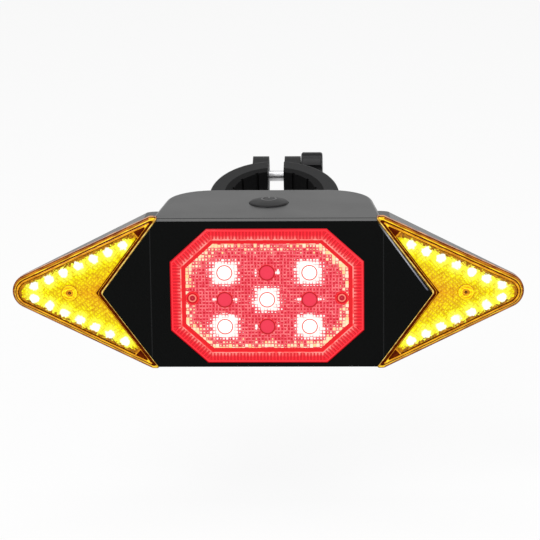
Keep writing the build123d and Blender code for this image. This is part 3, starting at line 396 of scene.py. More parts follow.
def panel_plastic(name, colour):
    """Smoother black plastic, with a painted highlight along each fold crease and a painted highlight beside
    the right notch.
    """
    finish = Finish(name)
    across, _, height = finish.place()
    wing_x, _ = wing_place(finish)
    # Painted highlight: a grey strip on the panel's face along the right notch's upper edge, brighter higher
    # up.
    notch_highlight_gap = 0.84 - 0.027 * height
    shine = 1 - finish.step(abs(past_notch(wing_x, abs(height)) + notch_highlight_gap), 0.12, 0.34)
    shine = shine * finish.step(across, 30.0, 38.0) * finish.step(height, 0.9, 1.5)
    shine = shine * finish.fall(height, 20.0, 25.0)
    painted_highlight_grey = finish.mix(finish.step(height, 2.0, 12.0), (0.17, 0.17, 0.22), (0.42, 0.43, 0.47))
    # Painted highlight: a thin lighter line along each fold crease.
    fold = 1 - finish.step(abs(abs(across) - FOLD_X), 0.08, 0.26)
    wide = finish.noise(45.0, 3.0)
    shade = finish.mix(fold * 0.8, finish.toned(wide, colour, 0.9, 1.1), (0.018, 0.0185, 0.019))
    _, _, normal_z = finish.facing()
    return finish.done(Base_Color=finish.mix(shine, shade, painted_highlight_grey), Roughness=0.36 + 0.08 * wide,
                       Specular_IOR_Level=0.035, Coat_Weight=0.6 * finish.step(normal_z, 0.25, 0.8),
                       Coat_Roughness=0.38, Normal=finish.bump(finish.noise(3200.0), 0.00002, 0.35))


def soft_rubber(name, colour, roughness=0.7, specular=0.25):
    """Matt rubber with a fine skin and dust in its pores."""
    finish = Finish(name)
    dust = finish.step(finish.noise(140.0, 3.0), 0.45, 0.75)
    return finish.done(Base_Color=finish.toned(dust * 0.35, colour, 1.0, 2.2), Specular_IOR_Level=specular,
                       Roughness=roughness + 0.1 * dust,
                       Normal=finish.bump(finish.noise(1900.0, 4.0), 0.00005, 0.5))


def plated_metal(name, colour):
    """Zinc-plated steel with fine turning marks and dull patches."""
    finish = Finish(name)
    drawn = finish.product(finish.node("ShaderNodeTexCoord").outputs["Object"], (0.06, 1, 1))
    dull = finish.noise(260.0, 3.0)
    return finish.done(Base_Color=finish.toned(dull, colour, 0.8, 1.0), Metallic=1.0,
                       Roughness=0.24 + 0.2 * dull,
                       Normal=finish.bump(finish.noise(5200.0, 2.0, drawn), 0.00001, 0.5))


def circuit_board(name, colour):
    """Solder mask over copper tracks, with tinned pads."""
    finish = Finish(name)
    x, _, z = finish.place()
    track_x = finish.math("PINGPONG", x + 1.4 * finish.noise(70.0), 0.9)
    track_z = finish.math("PINGPONG", z + 1.4 * finish.noise(55.0), 1.1)
    tracks = 1 - finish.step(finish.least(track_x, track_z), 0.16, 0.24)
    dots = finish.node("ShaderNodeTexVoronoi", Scale=0.36, Randomness=0.25, Vector=finish.point(x, 0.0, z))
    pads = 1 - finish.step(Number(finish, dots.outputs[0]), 0.12, 0.15)
    shade = finish.mix(tracks, colour, [part * 2.1 + 0.01 for part in colour])
    return finish.done(Base_Color=finish.mix(pads, shade, (0.62, 0.6, 0.52)), Metallic=0.9 * pads,
                       Roughness=0.32 + 0.15 * pads, Normal=finish.bump(tracks + pads, 0.00004, 0.6))


def white_tray_plastic(name):
    """Reflector tray: white plastic that is glossy where it was polished."""
    finish = Finish(name)
    cloud = finish.noise(180.0, 3.0)
    return finish.done(Base_Color=finish.mix(cloud, (0.72, 0.72, 0.7), (0.86, 0.86, 0.84)),
                       Roughness=0.2 + 0.2 * cloud, Normal=finish.bump(finish.noise(2200.0), 0.00002, 0.4))


def clear_epoxy(name, colour, glow):
    """A light's epoxy body, lit from inside."""
    finish = Finish(name)
    cloud = finish.noise(500.0)
    shade = finish.toned(cloud, colour, 0.85, 1.0)
    return finish.done(Base_Color=shade, Roughness=0.12 + 0.1 * cloud, Emission_Color=shade,
                       Emission_Strength=glow)


def shrink_wrap(name, colour):
    """Heat-shrink wrap on the cell, drawn tight with faint wrinkles at its ends."""
    finish = Finish(name)
    x, _, _ = finish.place()
    ends = finish.step(abs(x), 29.0, 32.0)
    return finish.done(Base_Color=finish.toned(finish.noise(90.0), colour, 1.0, 1.3),
                       Roughness=0.28 + 0.2 * ends,
                       Normal=finish.bump(finish.noise(700.0, 3.0) * (0.2 + ends), 0.0001, 0.6))


def radio_metal(name, colour):
    """The radio's blue board, and the pressed can on it."""
    finish = Finish(name)
    _, depth, _ = finish.place()
    can = finish.step(depth, 10.85, 10.9)
    tint = finish.mix(finish.noise(320.0), (0.5, 0.5, 0.5), (0.66, 0.66, 0.67))
    return finish.done(Base_Color=finish.mix(can, colour, tint), Metallic=can, Roughness=0.5 - 0.2 * can,
                       Normal=finish.bump(finish.noise(900.0), 0.00003, 0.5))


def insulated_wire(name):
    """PVC insulation, red, with the slight ripple of the copper strands in it."""
    finish = Finish(name)
    ripple = finish.noise(1400.0)
    return finish.done(Base_Color=finish.mix(ripple, (0.42, 0.012, 0.012), (0.6, 0.03, 0.02)),
                       Roughness=0.36 + 0.1 * ripple, Normal=finish.bump(ripple, 0.00005, 0.5))


def nearest_light(finish, x, up):
    """Distance to the nearest of an arrow's lights, in millimetres."""
    run, drop = LED_ROW_END[0] - LED_ROW_START[0], LED_ROW_END[1] - LED_ROW_START[1]
    length = hypot(run, drop)
    dx, dz = x - LED_ROW_START[0], up - LED_ROW_START[1]
    along = dx * (run / length) + dz * (drop / length)
    aside = dz * (run / length) - dx * (drop / length)
    pitch = length / LED_STEPS
    step = finish.most(finish.least(round(along / pitch), LED_STEPS), 0.0)
    return finish.reach(along - step * pitch, aside)


def cell_numbers(finish, u, v, side=0.0):
    """Three random numbers from 0 to 1 for each cell of a grid, and for each side of the prism in it."""
    noise = finish.node("ShaderNodeTexWhiteNoise", Vector=finish.point(floor(u), floor(v), side))
    parts = finish.node("ShaderNodeSeparateColor", in_0=noise.outputs["Color"])
    return [Number(finish, parts.outputs[index]) for index in range(3)]


def prism_side(finish):
    """A whole number for the way a prism's facet faces."""
    normal_x, _, normal_z = finish.facing()
    return round(normal_x * 4.0) * 3.0 + round(normal_z * 4.0)


def lit_amber_prisms(name, settings):
    """The arrow lens where its lights shine through: white cores, yellow round them, amber far off."""
    finish = Finish(name)
    x, height = wing_place(finish)
    across, depth, _ = finish.place()
    up = abs(height)
    far = nearest_light(finish, x, up)
    along = (up - x * NOTCH_RUN) / NOTCH_LENGTH / PRISM_STRETCH
    first, second, third = cell_numbers(finish, along, past_notch(x, up), prism_side(finish))
    wobble = finish.noise(0.75, 2.0, finish.point(x, 0.0, height)) - 0.5
    blob = far + 1.9 * wobble + 0.22 * (first - 0.5)
    colour = finish.ramp(blob / 16.0, [
        (0.086, (1.0, 1.0, 0.96)), (0.112, (1.0, 1.0, 0.08)), (0.24, settings.yellow),
        (0.42, (1.0, 0.78, 0.001)), (0.75, (0.96, 0.50, 0.001))])
    core = 1 - finish.step(blob, 1.25, 1.75)
    # Painted shade: the prisms' valleys come out darker.
    valley_shade = finish.step(depth - (abs(across) - FOLD_X) * tan(SWEEP), *ARROW_PRISMS[:2])
    shade = finish.most(1.12 - 0.26 * first - 0.2 * valley_shade + 0.2 * finish.fall(far, 1.5, 5.0), core)
    colour = finish.product(colour, finish.point(shade, shade * shade, shade))
    nose = finish.step(x, NOSE_CENTRE_X, NOSE_CENTRE_X + 1)
    edge = 1 - finish.step(inside_edge(x, up), 2.8, 4.3)
    edge = finish.most(edge, nose * finish.step(finish.reach(x - NOSE_CENTRE_X, up), 1.9, 3.3))
    edge = finish.most(edge, finish.step(up, 18.8, 20.6))
    speck = finish.step(edge - third * 0.95, 0.0, 0.15) * (1 - core)
    fleck = finish.step(second, 0.80, 0.84) * finish.step(far, 2.4, 4.6)
    dark = finish.mix(second, (0.17, 0.032, 0.001), (0.60, 0.21, 0.002))
    return finish.glow(finish.mix(finish.most(speck * 0.95, fleck * 0.5), colour, dark), 0.94, 0.12, 0.16)


def amber_plastic(name, colour, strength, dark=0.4, specular=0.12):
    """Amber lens plastic beside the lights, with streaks along its outer edge."""
    finish = Finish(name)
    x, height = wing_place(finish)
    up = abs(height)
    along = (up - x * EDGE_RUN) / EDGE_LENGTH
    streak = finish.noise(1.0, 3.0, finish.point(inside_edge(x, up) * 1.6, 0.0, along * 0.22), 0.6)
    deep = (colour[0] * dark, colour[1] * dark * 0.7, colour[2] * dark * 0.5)
    shade = finish.mix(finish.step(streak, 0.40, 0.60), deep, colour)
    return finish.glow(shade, strength, 0.4, 0.14 + 0.1 * streak, specular)


def stop_grid_place(finish):
    """Offset from the nearest window's centre, 1 where that window is lit, and 1 where it isn't."""
    x, _, height = finish.place()
    up = height + STOP_GRID_DROP
    column, row = round(x / STOP_PITCH[0]), round(up / STOP_PITCH[1])
    inside = (1 - finish.step(abs(column), 1.4, 1.6)) * (1 - finish.step(abs(row), 1.4, 1.6))
    unlit = finish.math("MODULO", abs(column + row), 2.0) * inside
    return x - column * STOP_PITCH[0], up - row * STOP_PITCH[1], inside - unlit, unlit


def stop_edge_gap(finish):
    """Distance from the brake light lens's outline, in millimetres."""
    x, _, height = finish.place()
    across, up = abs(x), abs(height - STOP_MIDDLE)
    slope = Vector((STOP_HALF_HEIGHT - STOP_HALF_SIDE, STOP_HALF_WIDTH - STOP_HALF_TOP)).normalized()
    slant = slope.x * STOP_HALF_TOP + slope.y * STOP_HALF_HEIGHT - across * slope.x - up * slope.y
    return finish.least(finish.least(STOP_HALF_WIDTH - across, STOP_HALF_HEIGHT - up), slant)


def lit_red_prisms(name, settings, width, rise):
    """The brake light's prisms: a pink lattice round dark points, white next to a lit window, painted
    highlights beside each unlit window, and painted light on facets turned up.
    """
    finish = Finish(name)
    x, depth, height = finish.place()
    dx, dz, lit, unlit = stop_grid_place(finish)
    u, v = x / width, height / rise
    first, second, _ = cell_numbers(finish, u, v)
    _, _, third = cell_numbers(finish, u, v, prism_side(finish))
    border = finish.most(*[abs(finish.math("FRACT", value) - 0.5) for value in (u, v)])
    square = finish.most(abs(dx) * 0.9, abs(dz))
    near = finish.fall(0.5 * (square + finish.reach(dx, dz)), 2.6, 6.8) * lit
    # Painted highlights: white spots either side of each unlit window.
    ear_highlights = finish.fall(finish.reach(abs(dx) - 3.7, dz), 0.2, 1.7) * unlit
    near = finish.most(near, 0.8 * ear_highlights)
    white = 0.80 * near + 0.3 * (first - 0.5) * finish.step(near, 0.0, 0.2)
    rim = finish.fall(stop_edge_gap(finish), 4.2, 9.6)
    corner = finish.step(abs(x) + abs(height), 26.5, 33.0)
    pale = 0.54 * rim + 0.10 * corner + 0.46 * (second - 0.5) * finish.step(rim, 0.0, 0.2)
    _, _, normal_z = finish.facing()
    # Painted light: facets turned up come out lighter.
    level = 0.10 + 0.60 * finish.step(depth, -0.04, 0.2) + 0.5 * (third - 0.5) + 0.25 * normal_z
    colour = finish.mix(finish.step(level, 0.0, 0.85), settings.red, settings.red_light)
    colour = finish.mix(finish.step(level, 0.62, 1.0) * 0.6, colour, (1.0, 0.42, 0.38))
    cream = finish.mix(first, (1.0, 0.80, 0.34), (1.0, 1.0, 0.74))
    colour = finish.mix(finish.step(pale - border, 0.05, 0.15) * 0.9, colour, cream)
    colour = finish.mix(finish.step(white - border, 0.10, 0.18), colour, (1.0, 1.0, 0.95))
    return finish.glow(colour, 0.94, 0.1, 0.16)


def red_plastic(name, colour, strength, low, high):
    """Red lens plastic with painted light and shade: lighter on faces turned up and towards +x and on its
    raised faces, with painted shade in its grooves, from depth low to high.
    """
    finish = Finish(name)
    _, depth, _ = finish.place()
    normal_x, _, normal_z = finish.facing()
    # Painted light: facets turned up and towards +x come out lighter, and those turned away darker.
    facet = 0.5 + 0.5 * (0.7 * normal_z + 0.5 * normal_x)
    dark = (colour[0] * 0.6, colour[1] * 0.3, colour[2] * 0.4)
    light = [min(1.0, 1.05 * part + 0.014) for part in colour]
    shade = finish.mix(finish.step(facet - 0.8 * finish.step(depth, low, high), -0.3, 0.45), dark, light)
    return finish.glow(shade, strength, 0.25, 0.12 + 0.1 * finish.noise(220.0))


def lit_red_ribs(name, colour, pitch):
    """The border's ribs and ridge: red with painted shade in the grooves, the light from inside in their
    crests near the prisms, and painted glints along the ridge.
    """
    finish = Finish(name)
    x, depth, height = finish.place()
    gap = stop_edge_gap(finish)
    crest = finish.fall(depth, -0.34, 0.0)
    chance, _, _ = cell_numbers(finish, x / pitch, height / pitch)
    # Painted shade: the ribs' grooves come out darker than their crests.
    dark = (colour[0] * 0.5, colour[1] * 0.3, colour[2] * 0.5)
    shade = finish.mix(finish.step(crest, 0.12, 0.85), dark, colour)
    pale = crest * finish.step(gap, 2.0, 3.5) * (0.1 + 0.45 * chance)
    # Painted glints: pale dashes along the ridge.
    glint = finish.step(gap, 3.5, 3.55) * finish.step(chance, 0.42, 0.5)
    shade = finish.mix(finish.most(pale, glint * 0.5), shade, (1.0, 0.62, 0.52))
    return finish.glow(shade, 0.88, 0.25, 0.14)


def lit_window(name):
    """A round window with its light on."""
    finish = Finish(name)
    cloud = finish.noise(400.0)
    shade = finish.mix(cloud, (1.0, 0.96, 0.9), (1.0, 1.0, 1.0))
    return finish.glow(shade, 1.0, 0.4, 0.15 + 0.1 * cloud, 0.5)


def inset(corners, gap):
    """Corners of a convex outline, listed anticlockwise, with every edge moved in by gap."""
    moved = []
    for before, here, after in zip(corners[-1:] + corners[:-1], corners, corners[1:] + corners[:1]):
        into = (Vector(here) - Vector(before)).normalized()
        out = (Vector(after) - Vector(here)).normalized()
        first, second = Vector((-into.y, into.x)), Vector((-out.y, out.x))
        moved.append(tuple(Vector(here) + (first + second) * (gap / (1 + first.dot(second)))))
    return moved


def arc(centre_x, centre_z, radius, start, end, count):
    """Points on an arc, both ends among them."""
    turns = [start + (end - start) * step / (count - 1) for step in range(count)]
    return [(centre_x + radius * cos(turn), centre_z + radius * sin(turn)) for turn in turns]


def round_corner(before, corner, after, radius, count):
    """The points that round one corner of an outline."""
    here = Vector(corner)
    into, out = (Vector(before) - here).normalized(), (Vector(after) - here).normalized()
    half = into.angle(out) / 2
    centre = here + (into + out).normalized() * (radius / sin(half))
    starts = [here + way * (radius / tan(half)) - centre for way in (into, out)]
    first = atan2(starts[0].y, starts[0].x)
    turn = (atan2(starts[1].y, starts[1].x) - first + pi) % (2 * pi) - pi
    return arc(centre.x, centre.y, radius, first, first + turn, count)


def arrow_half(gap, notch_gap):
    """Upper half of the right arrow's outline, moved in by the gaps, from its nose to its notch."""
    nose = arc(NOSE_CENTRE_X, 0, ARROW_NOSE_R - gap, 0, atan2(EDGE_RUN, 1), NOSE_POINTS)
    outer, notch = ARROW_VERTEX_X - gap * EDGE_LENGTH, NOTCH_X + notch_gap * NOTCH_LENGTH
    tip_z = (outer - notch) / (EDGE_RUN - NOTCH_RUN)
    blunt_z = ARROW_INNER_Z - gap
    if tip_z > blunt_z + 0.3:
        first, second = (outer - EDGE_RUN * blunt_z, blunt_z), (notch - NOTCH_RUN * blunt_z, blunt_z)
        width = first[0] - second[0]
        tip = round_corner((outer, 0), first, second, min(1.2, 2 * width), TIP_POINTS[0])
        tip += round_corner(first, second, (notch, 0), 0.24 * width, TIP_POINTS[1])
    else:
        sharp = (notch - NOTCH_RUN * tip_z, tip_z)
        tip = round_corner((outer, 0), sharp, (notch, 0), 0.35, sum(TIP_POINTS))
    radius = NOTCH_R + notch_gap
    apex = arc(notch - radius * NOTCH_LENGTH, 0, radius, atan2(NOTCH_RUN, 1), 0, 4)
    return nose + tip + apex


def arrow_loop(gap, notch_gap):
    """The right arrow's whole outline, moved in by a gap on its outer edges and one on its notch edges."""
    half = arrow_half(gap, notch_gap)
    return half + [(x, -z) for x, z in half[-2:0:-1]]


def at_depth(outline, depth):
    """An outline's points at one depth."""
    return [(x, depth, z) for x, z in outline]


class Mould:
    """A mesh in the making, in the lamp's millimetres: across, depth behind the panel's face, height."""

    def __init__(self):
        self.mesh = bmesh.new()
        self.finishes = []

    def slot(self, finish):
        """The material slot of a finish."""
        if finish not in self.finishes:
            self.finishes.append(finish)
        return self.finishes.index(finish)

    def loft(self, loops, finish_of):
        """Joins closed loops of points and closes both ends. finish_of takes a face's ring and side."""
        rows = [[self.mesh.verts.new(point) for point in loop] for loop in loops]
        for ring, (near, far) in enumerate(zip(rows, rows[1:])):
            for side in range(len(near)):
                after = (side + 1) % len(near)
                face = self.mesh.faces.new((near[side], near[after], far[after], far[side]))
                face.material_index = self.slot(finish_of(ring, side))
        for ring in (0, len(rows) - 1):
            self.mesh.faces.new(rows[ring]).material_index = self.slot(finish_of(ring, 0))

    def lathe(self, x, z, profile):
        """A round piece about an axis through the panel, from rows of radius, depth and finish."""
        turns = [2 * pi * step / LATHE_SIDES for step in range(LATHE_SIDES)]
        loops = [[(x + radius * cos(turn), depth, z + radius * sin(turn)) for turn in turns]
                 for radius, depth, _ in profile]
        self.loft(loops, lambda ring, _: profile[ring][2])

    def prisms(self, outline, pitch, depths, finish, turn=0.0, ridged=False):
        """A closed field of pyramids or ridges over a convex outline. depths: peak, valley, underside."""
        peak, valley, under = depths
        field = bmesh.new()
        u_axis, v_axis = Vector((cos(turn), sin(turn))), Vector((-sin(turn), cos(turn)))
        spans = []
        for axis, step in ((u_axis, pitch[0]), (v_axis, pitch[1])):
            reach = [axis.dot(Vector(corner)) / step for corner in outline]
            spans.append(range(floor(min(reach)), ceil(max(reach))))

        def at(u, v, depth):
            place = u_axis * (u * pitch[0]) + v_axis * (v * pitch[1])
            return field.verts.new((place.x, depth, place.y))

        for u in spans[0]:
            if ridged:
                ends = (spans[1].start, spans[1].stop)
                left = [at(u, end, valley) for end in ends]
                right = [at(u + 1, end, valley) for end in ends]
                top = [at(u + 0.5, end, peak) for end in ends]
                field.faces.new((left[0], left[1], top[1], top[0]))
                field.faces.new((top[0], top[1], right[1], right[0]))
                continue
            for v in spans[1]:
                corners = [at(u + over, v + up, valley) for over, up in ((0, 0), (1, 0), (1, 1), (0, 1))]
                apex = at(u + 0.5, v + 0.5, peak)
                for side in range(4):
                    field.faces.new((corners[side], corners[(side + 1) % 4], apex))
        bmesh.ops.remove_doubles(field, verts=field.verts, dist=0.001)
        for start, end in zip(outline, outline[1:] + outline[:1]):
            out = (end[1] - start[1], 0, start[0] - end[0])
            bmesh.ops.bisect_plane(field, geom=[*field.verts, *field.edges, *field.faces], dist=0.0001,
                                   plane_co=(start[0], 0, start[1]), plane_no=out, clear_outer=True)
        rim = [edge for edge in field.edges if edge.is_boundary]
        for part in bmesh.ops.extrude_edge_only(field, edges=rim)["geom"]:
            if isinstance(part, bmesh.types.BMVert):
                part.co.y = under
        bmesh.ops.edgeloop_fill(field, edges=[edge for edge in field.edges if edge.is_boundary])
        for face in field.faces:
            face.material_index = self.slot(finish)
        part = bpy.data.meshes.new("part")
        field.to_mesh(part)
        field.free()
        self.mesh.from_mesh(part)
        bpy.data.meshes.remove(part)

    def finish_as(self, name, body, slot, *nodes, wing=0):
        """Makes the piece. wing is 1 for the right wing's swing, -1 for the left's and 0 for neither."""
        if wing:
            fold = Matrix.Translation((FOLD_X, 0, 0))
            self.mesh.transform(fold @ Matrix.Rotation(SWEEP, 4, "Z") @ fold.inverted())
        if wing < 0:
            self.mesh.transform(Matrix.Scale(-1, 4, (1, 0, 0)))
        self.mesh.transform(Matrix.Translation(LAMP_ORIGIN) @ Matrix.Scale(MM, 4))
        bmesh.ops.remove_doubles(self.mesh, verts=self.mesh.verts, dist=0.002 * MM)
        bmesh.ops.dissolve_degenerate(self.mesh, edges=self.mesh.edges, dist=0.001 * MM)
        bmesh.ops.recalc_face_normals(self.mesh, faces=self.mesh.faces)
        mesh = bpy.data.meshes.new(name)
        self.mesh.to_mesh(mesh)
        self.mesh.free()
        for finish in self.finishes:
            mesh.materials.append(finish)
        mesh.polygons.foreach_set("use_smooth", [True] * len(mesh.polygons))
        mesh.set_sharp_from_angle(angle=SHARP_ANGLE)
        piece = bpy.data.objects.new(name, mesh)
        bpy.context.scene.collection.objects.link(piece)
        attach(piece, body)
        if nodes:
            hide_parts(*nodes)


def stop_outline(gap):
    """The brake light lens's outline, moved in by gap."""
    top, side, width, height = STOP_HALF_TOP, STOP_HALF_SIDE, STOP_HALF_WIDTH, STOP_HALF_HEIGHT
    corners = [(-top, -height), (top, -height), (width, -side), (width, side),
               (top, height), (-top, height), (-width, side), (-width, -side)]
    return [(x, z + STOP_MIDDLE) for x, z in inset(corners, gap)]


def build_stop_lens(settings, finishes):
    """The red lens: chamfered rim, ribbed band, step, prisms, nine windows and two screw bosses."""
    mould = Mould()
    red, step_red, ribs = finishes["red_band"], finishes["red_step"], finishes["red_ribs"]
    prism_red, deep, light = finishes["red_prisms"], finishes["red_deep"], finishes["red_window"]
    pale = finishes["window_rim"]
    band, end = settings.band_start, settings.band_end
    crest, under = STOP_RIBS[0], STOP_PRISMS[2]
    sections = [
        (1.2, STOP_BACK, red), (0.0, STOP_BACK, red), (0.0, 0.1, red), (0.5, -STOP_PROUD, red),
        (band, -STOP_PROUD, red), (band + 0.08, STOP_GROOVE, step_red), (end, STOP_GROOVE, ribs),
        (end + 0.1, crest, ribs), (end + 0.4, crest, step_red), (end + 0.52, STOP_RIBS[2], step_red)]
    mould.loft([at_depth(stop_outline(gap), depth) for gap, depth, _ in sections],
               lambda ring, _: sections[ring][2])
    outer, inner = stop_outline(band), stop_outline(end)
    for side in range(len(outer)):
        after = (side + 1) % len(outer)
        way = Vector(outer[after]) - Vector(outer[side])
        trapezium = [outer[side], outer[after], inner[after], inner[side]]
        mould.prisms(trapezium, (settings.rib_pitch, 60.0), STOP_RIBS, ribs, turn=atan2(way.y, way.x),
                     ridged=True)
    mould.prisms(stop_outline(settings.field_start), (settings.prism_width, settings.prism_height),
                 STOP_PRISMS, prism_red)
    radius = settings.window_radius
    for row in (-1, 0, 1):
        for column in (-1, 0, 1):
            lit = (row + column) % 2 == 0
            # An unlit window's ring groove gets the darker red_deep finish: painted shade.
            top = finishes["window_lit"] if lit else light
            ring = finishes["window_ring"] if lit else deep
            lip = top if lit else red
            mould.lathe(column * STOP_PITCH[0], row * STOP_PITCH[1] - STOP_GRID_DROP, [
                (radius, under, prism_red), (radius, -0.24, lip), (radius - 0.06, -0.32, lip),
                (radius - 0.12, -0.32, ring), (radius - 0.16, -0.14, ring), (radius - 0.48, -0.14, ring),
                (radius - 0.52, -0.3, top), (radius / 2, -0.37, top), (0.2, -0.39, top)])
    # The bosses' pale rings and tip are painted highlights, and their deep rings painted shade.
    boss = settings.boss_radius
    for side in (1, -1):
        mould.lathe(side * STOP_BOSS[0], -STOP_BOSS[1], [
            (boss, under, red), (boss, -0.3, deep), (boss - 0.1, -0.39, step_red), (boss - 0.5, -0.39, deep),
            (boss - 0.6, -0.14, red), (boss - 0.95, -0.14, red), (boss - 1.05, -0.34, pale),
            (boss - 1.45, -0.34, deep), (boss - 1.55, -0.16, light), (0.4, -0.16, light), (0.1, -0.2, pale)])
    mould.finish_as("brake_lens", "lamp", "red_lens", "stop_lens")


def arrow_field(settings):
    """Upper half of the prisms' outline in an arrow lens, listed anticlockwise."""
    outer = ARROW_VERTEX_X - settings.outer_gap * EDGE_LENGTH
    notch = NOTCH_X + settings.notch_gap * NOTCH_LENGTH
    nose = arc(NOSE_CENTRE_X, 0, ARROW_NOSE_R - settings.outer_gap, 0, atan2(EDGE_RUN, 1), 6)
    top = settings.pocket_top
    low = top - 1.6
    return nose + [(outer - EDGE_RUN * top, top), (notch - NOTCH_RUN * low, low), (notch, 0)]


def pocket_wall(settings, side):
    """Loops of the thin wall between the prisms and the empty pocket at an inner tip."""
    *_, first, second, _ = [Vector(corner) for corner in arrow_field(settings)]
    way = (second - first).normalized()
    out = Vector((way.y, -way.x)) * (1 if way.x < 0 else -1)
    loops = []
    for end in (first - way * 0.3, second + way * 0.3):
        near, far = end + out * 0.05, end + out * 0.4
        loops.append([(near.x, 1.4, side * near.y), (near.x, 0.68, side * near.y),
                      (far.x, 0.68, side * far.y), (far.x, 1.4, side * far.y)])
    return loops


def build_arrow_lens(side_name, wing, settings, finishes):
    """One amber lens: skirt, banded bevel, lip, dark pockets, prisms and boss."""
    mould = Mould()
    amber, bright, brown = finishes["amber"], finishes["amber_bright"], finishes["amber_brown"]
    cream, warm, dark = finishes["amber_cream"], finishes["amber_warm"], finishes["amber_pocket"]
    yellow = finishes["amber_yellow"]
    # Each row: gap at the outer edges, gap at the notch, depth, and the finish at either
    # brown and dark are painted shade in the bevel's dark lines and in the pockets; cream on the notch
    # side's lip is a painted highlight.
    sections = [
        (1.8, 1.8, ARROW_BACK, amber, amber), (1.8, 1.8, ARROW_FOOT, amber, amber),
        (0.11, 0.11, ARROW_FOOT, amber, amber), (0.11, 0.11, ARROW_EDGE, brown, cream),
        (0.34, 0.38, 1.98, amber, cream), (0.95, 0.55, 1.42, bright, brown),
        (1.22, 0.8, 1.18, brown, brown), (1.62, 1.15, 0.81, warm, brown),
        (1.85, 1.35, 0.62, warm, warm), (2.25, 1.5, 0.62, brown, brown), (2.4, 1.65, 1.3, dark, dark)]
    loops = [at_depth(arrow_loop(outer, notch), depth) for outer, notch, depth, _, _ in sections]

    def finish_of(ring, side):
        # Sides before 0 are the nose and the outer edge, and from 6 on they face the notch
        tip = min(side, len(loops[0]) - 1 - side) - NOSE_POINTS
        if ring in (4, 5, 8) and 0 <= tip < 7:
            return bright
        return sections[ring][4 if tip >= 6 else 3]

    mould.loft(loops, finish_of)
    upper = [(x, max(z, PRISM_SPLIT)) for x, z in arrow_field(settings)]
    lower = [(x, -z) for x, z in reversed(upper)]
    pitch = (settings.prism_pitch * PRISM_STRETCH, settings.prism_pitch)
    lean = atan2(1, NOTCH_RUN)
    for outline, turn in ((upper, -lean), (lower, lean)):
        mould.prisms(outline, pitch, ARROW_PRISMS, finishes["amber_prisms"], turn=turn)
    for side in (1, -1):
        mould.loft(pocket_wall(settings, side), lambda ring, _: warm)
    boss = settings.boss_radius
    # The cream tip at the boss's centre is a painted glint.
    mould.lathe(BOSS_X, 0, [
        (boss, ARROW_PRISMS[2], amber), (boss, 0.72, amber), (boss - 0.14, 0.61, yellow),
        (boss - 0.7, 0.61, warm), (boss - 0.78, 0.82, yellow), (boss - 1.0, 0.82, warm),
        (boss - 1.08, 0.63, yellow), (boss - 1.5, 0.63, amber), (boss - 1.56, 0.82, warm),
        (0.5, 0.82, brown), (0.1, 0.78, cream)])
    mould.finish_as(f"{side_name}_turn_lens", "lamp", "amber_lens", f"{side_name}_arrow_lens", wing=wing)


def build_button_mark(finishes):
    """The raised ring and bar on the power button's dome."""
    mould = Mould()
    depth = ((BUTTON_LOW.y + BUTTON_HIGH.y) / 2 - LAMP_ORIGIN.y) / MM + MARK_BACK
    crown = (BUTTON_HIGH.z - LAMP_ORIGIN.z) / MM
    ring = arc(0, 0, MARK_RADIUS, radians(128), radians(412), 33)
    for line in (ring, [(0, 0.6), (0, 2.0), (0, 3.4)]):
        points = [Vector(point) for point in line]
        loops = []
        for before, here, after in zip(points[:1] + points[:-1], points, points[1:] + points[-1:]):
            ahead = after - before
            aside = Vector((-ahead.y, ahead.x)).normalized() * (MARK_WIDTH / 2)
            edges = ((here + aside, -0.9), (here + aside * 0.6, -0.01), (here - aside * 0.6, -0.01),
                     (here - aside, -0.9))
            loops.append([(edge.x, depth + edge.y, crown + lift) for edge, lift in edges])
        mould.loft(loops, lambda ring, _: finishes["mark"])
    mould.finish_as("button_mark", "button", "button_rubber")


REPLACED = {"stop_lens", "left_arrow_lens", "right_arrow_lens"}
NODE_FINISHES = {
    "housing": ("rear_housing",),
    "panel": ("front_bezel",),
    "seal": ("bezel_gasket", "stop_lens_gasket", "left_lens_gasket", "right_lens_gasket", "port_cover"),
    "tray": ("stop_reflector", "left_reflector", "right_reflector"),
    "board": ("main_board", "charge_board", "switch_board", "left_board", "right_board"),
    "epoxy": ("stop_leds", "left_leds", "right_leds"),
    "steel": ("stop_lens_screws", "board_screws", "arrow_lens_screws", "case_screws", "charge_socket",
              "rail_screws", "tilt_bolt", "tilt_nut", "tilt_washers", "clamp_nut", "clamp_screw"),
    "radio": ("radio_module",),
    "wrap": ("battery",),
    "cradle": ("battery_cradle", "switch_plunger", "switch_body"),
    "wire": ("battery_leads", "left_wing_lead", "right_wing_lead"),
    "button": ("power_button",),
    "bracket": ("slide_rail", "bracket_shoe", "clamp_ring"),
    "pad": ("clamp_pad",),
    "knob": ("clamp_knob",),
}
FINISHES = {}


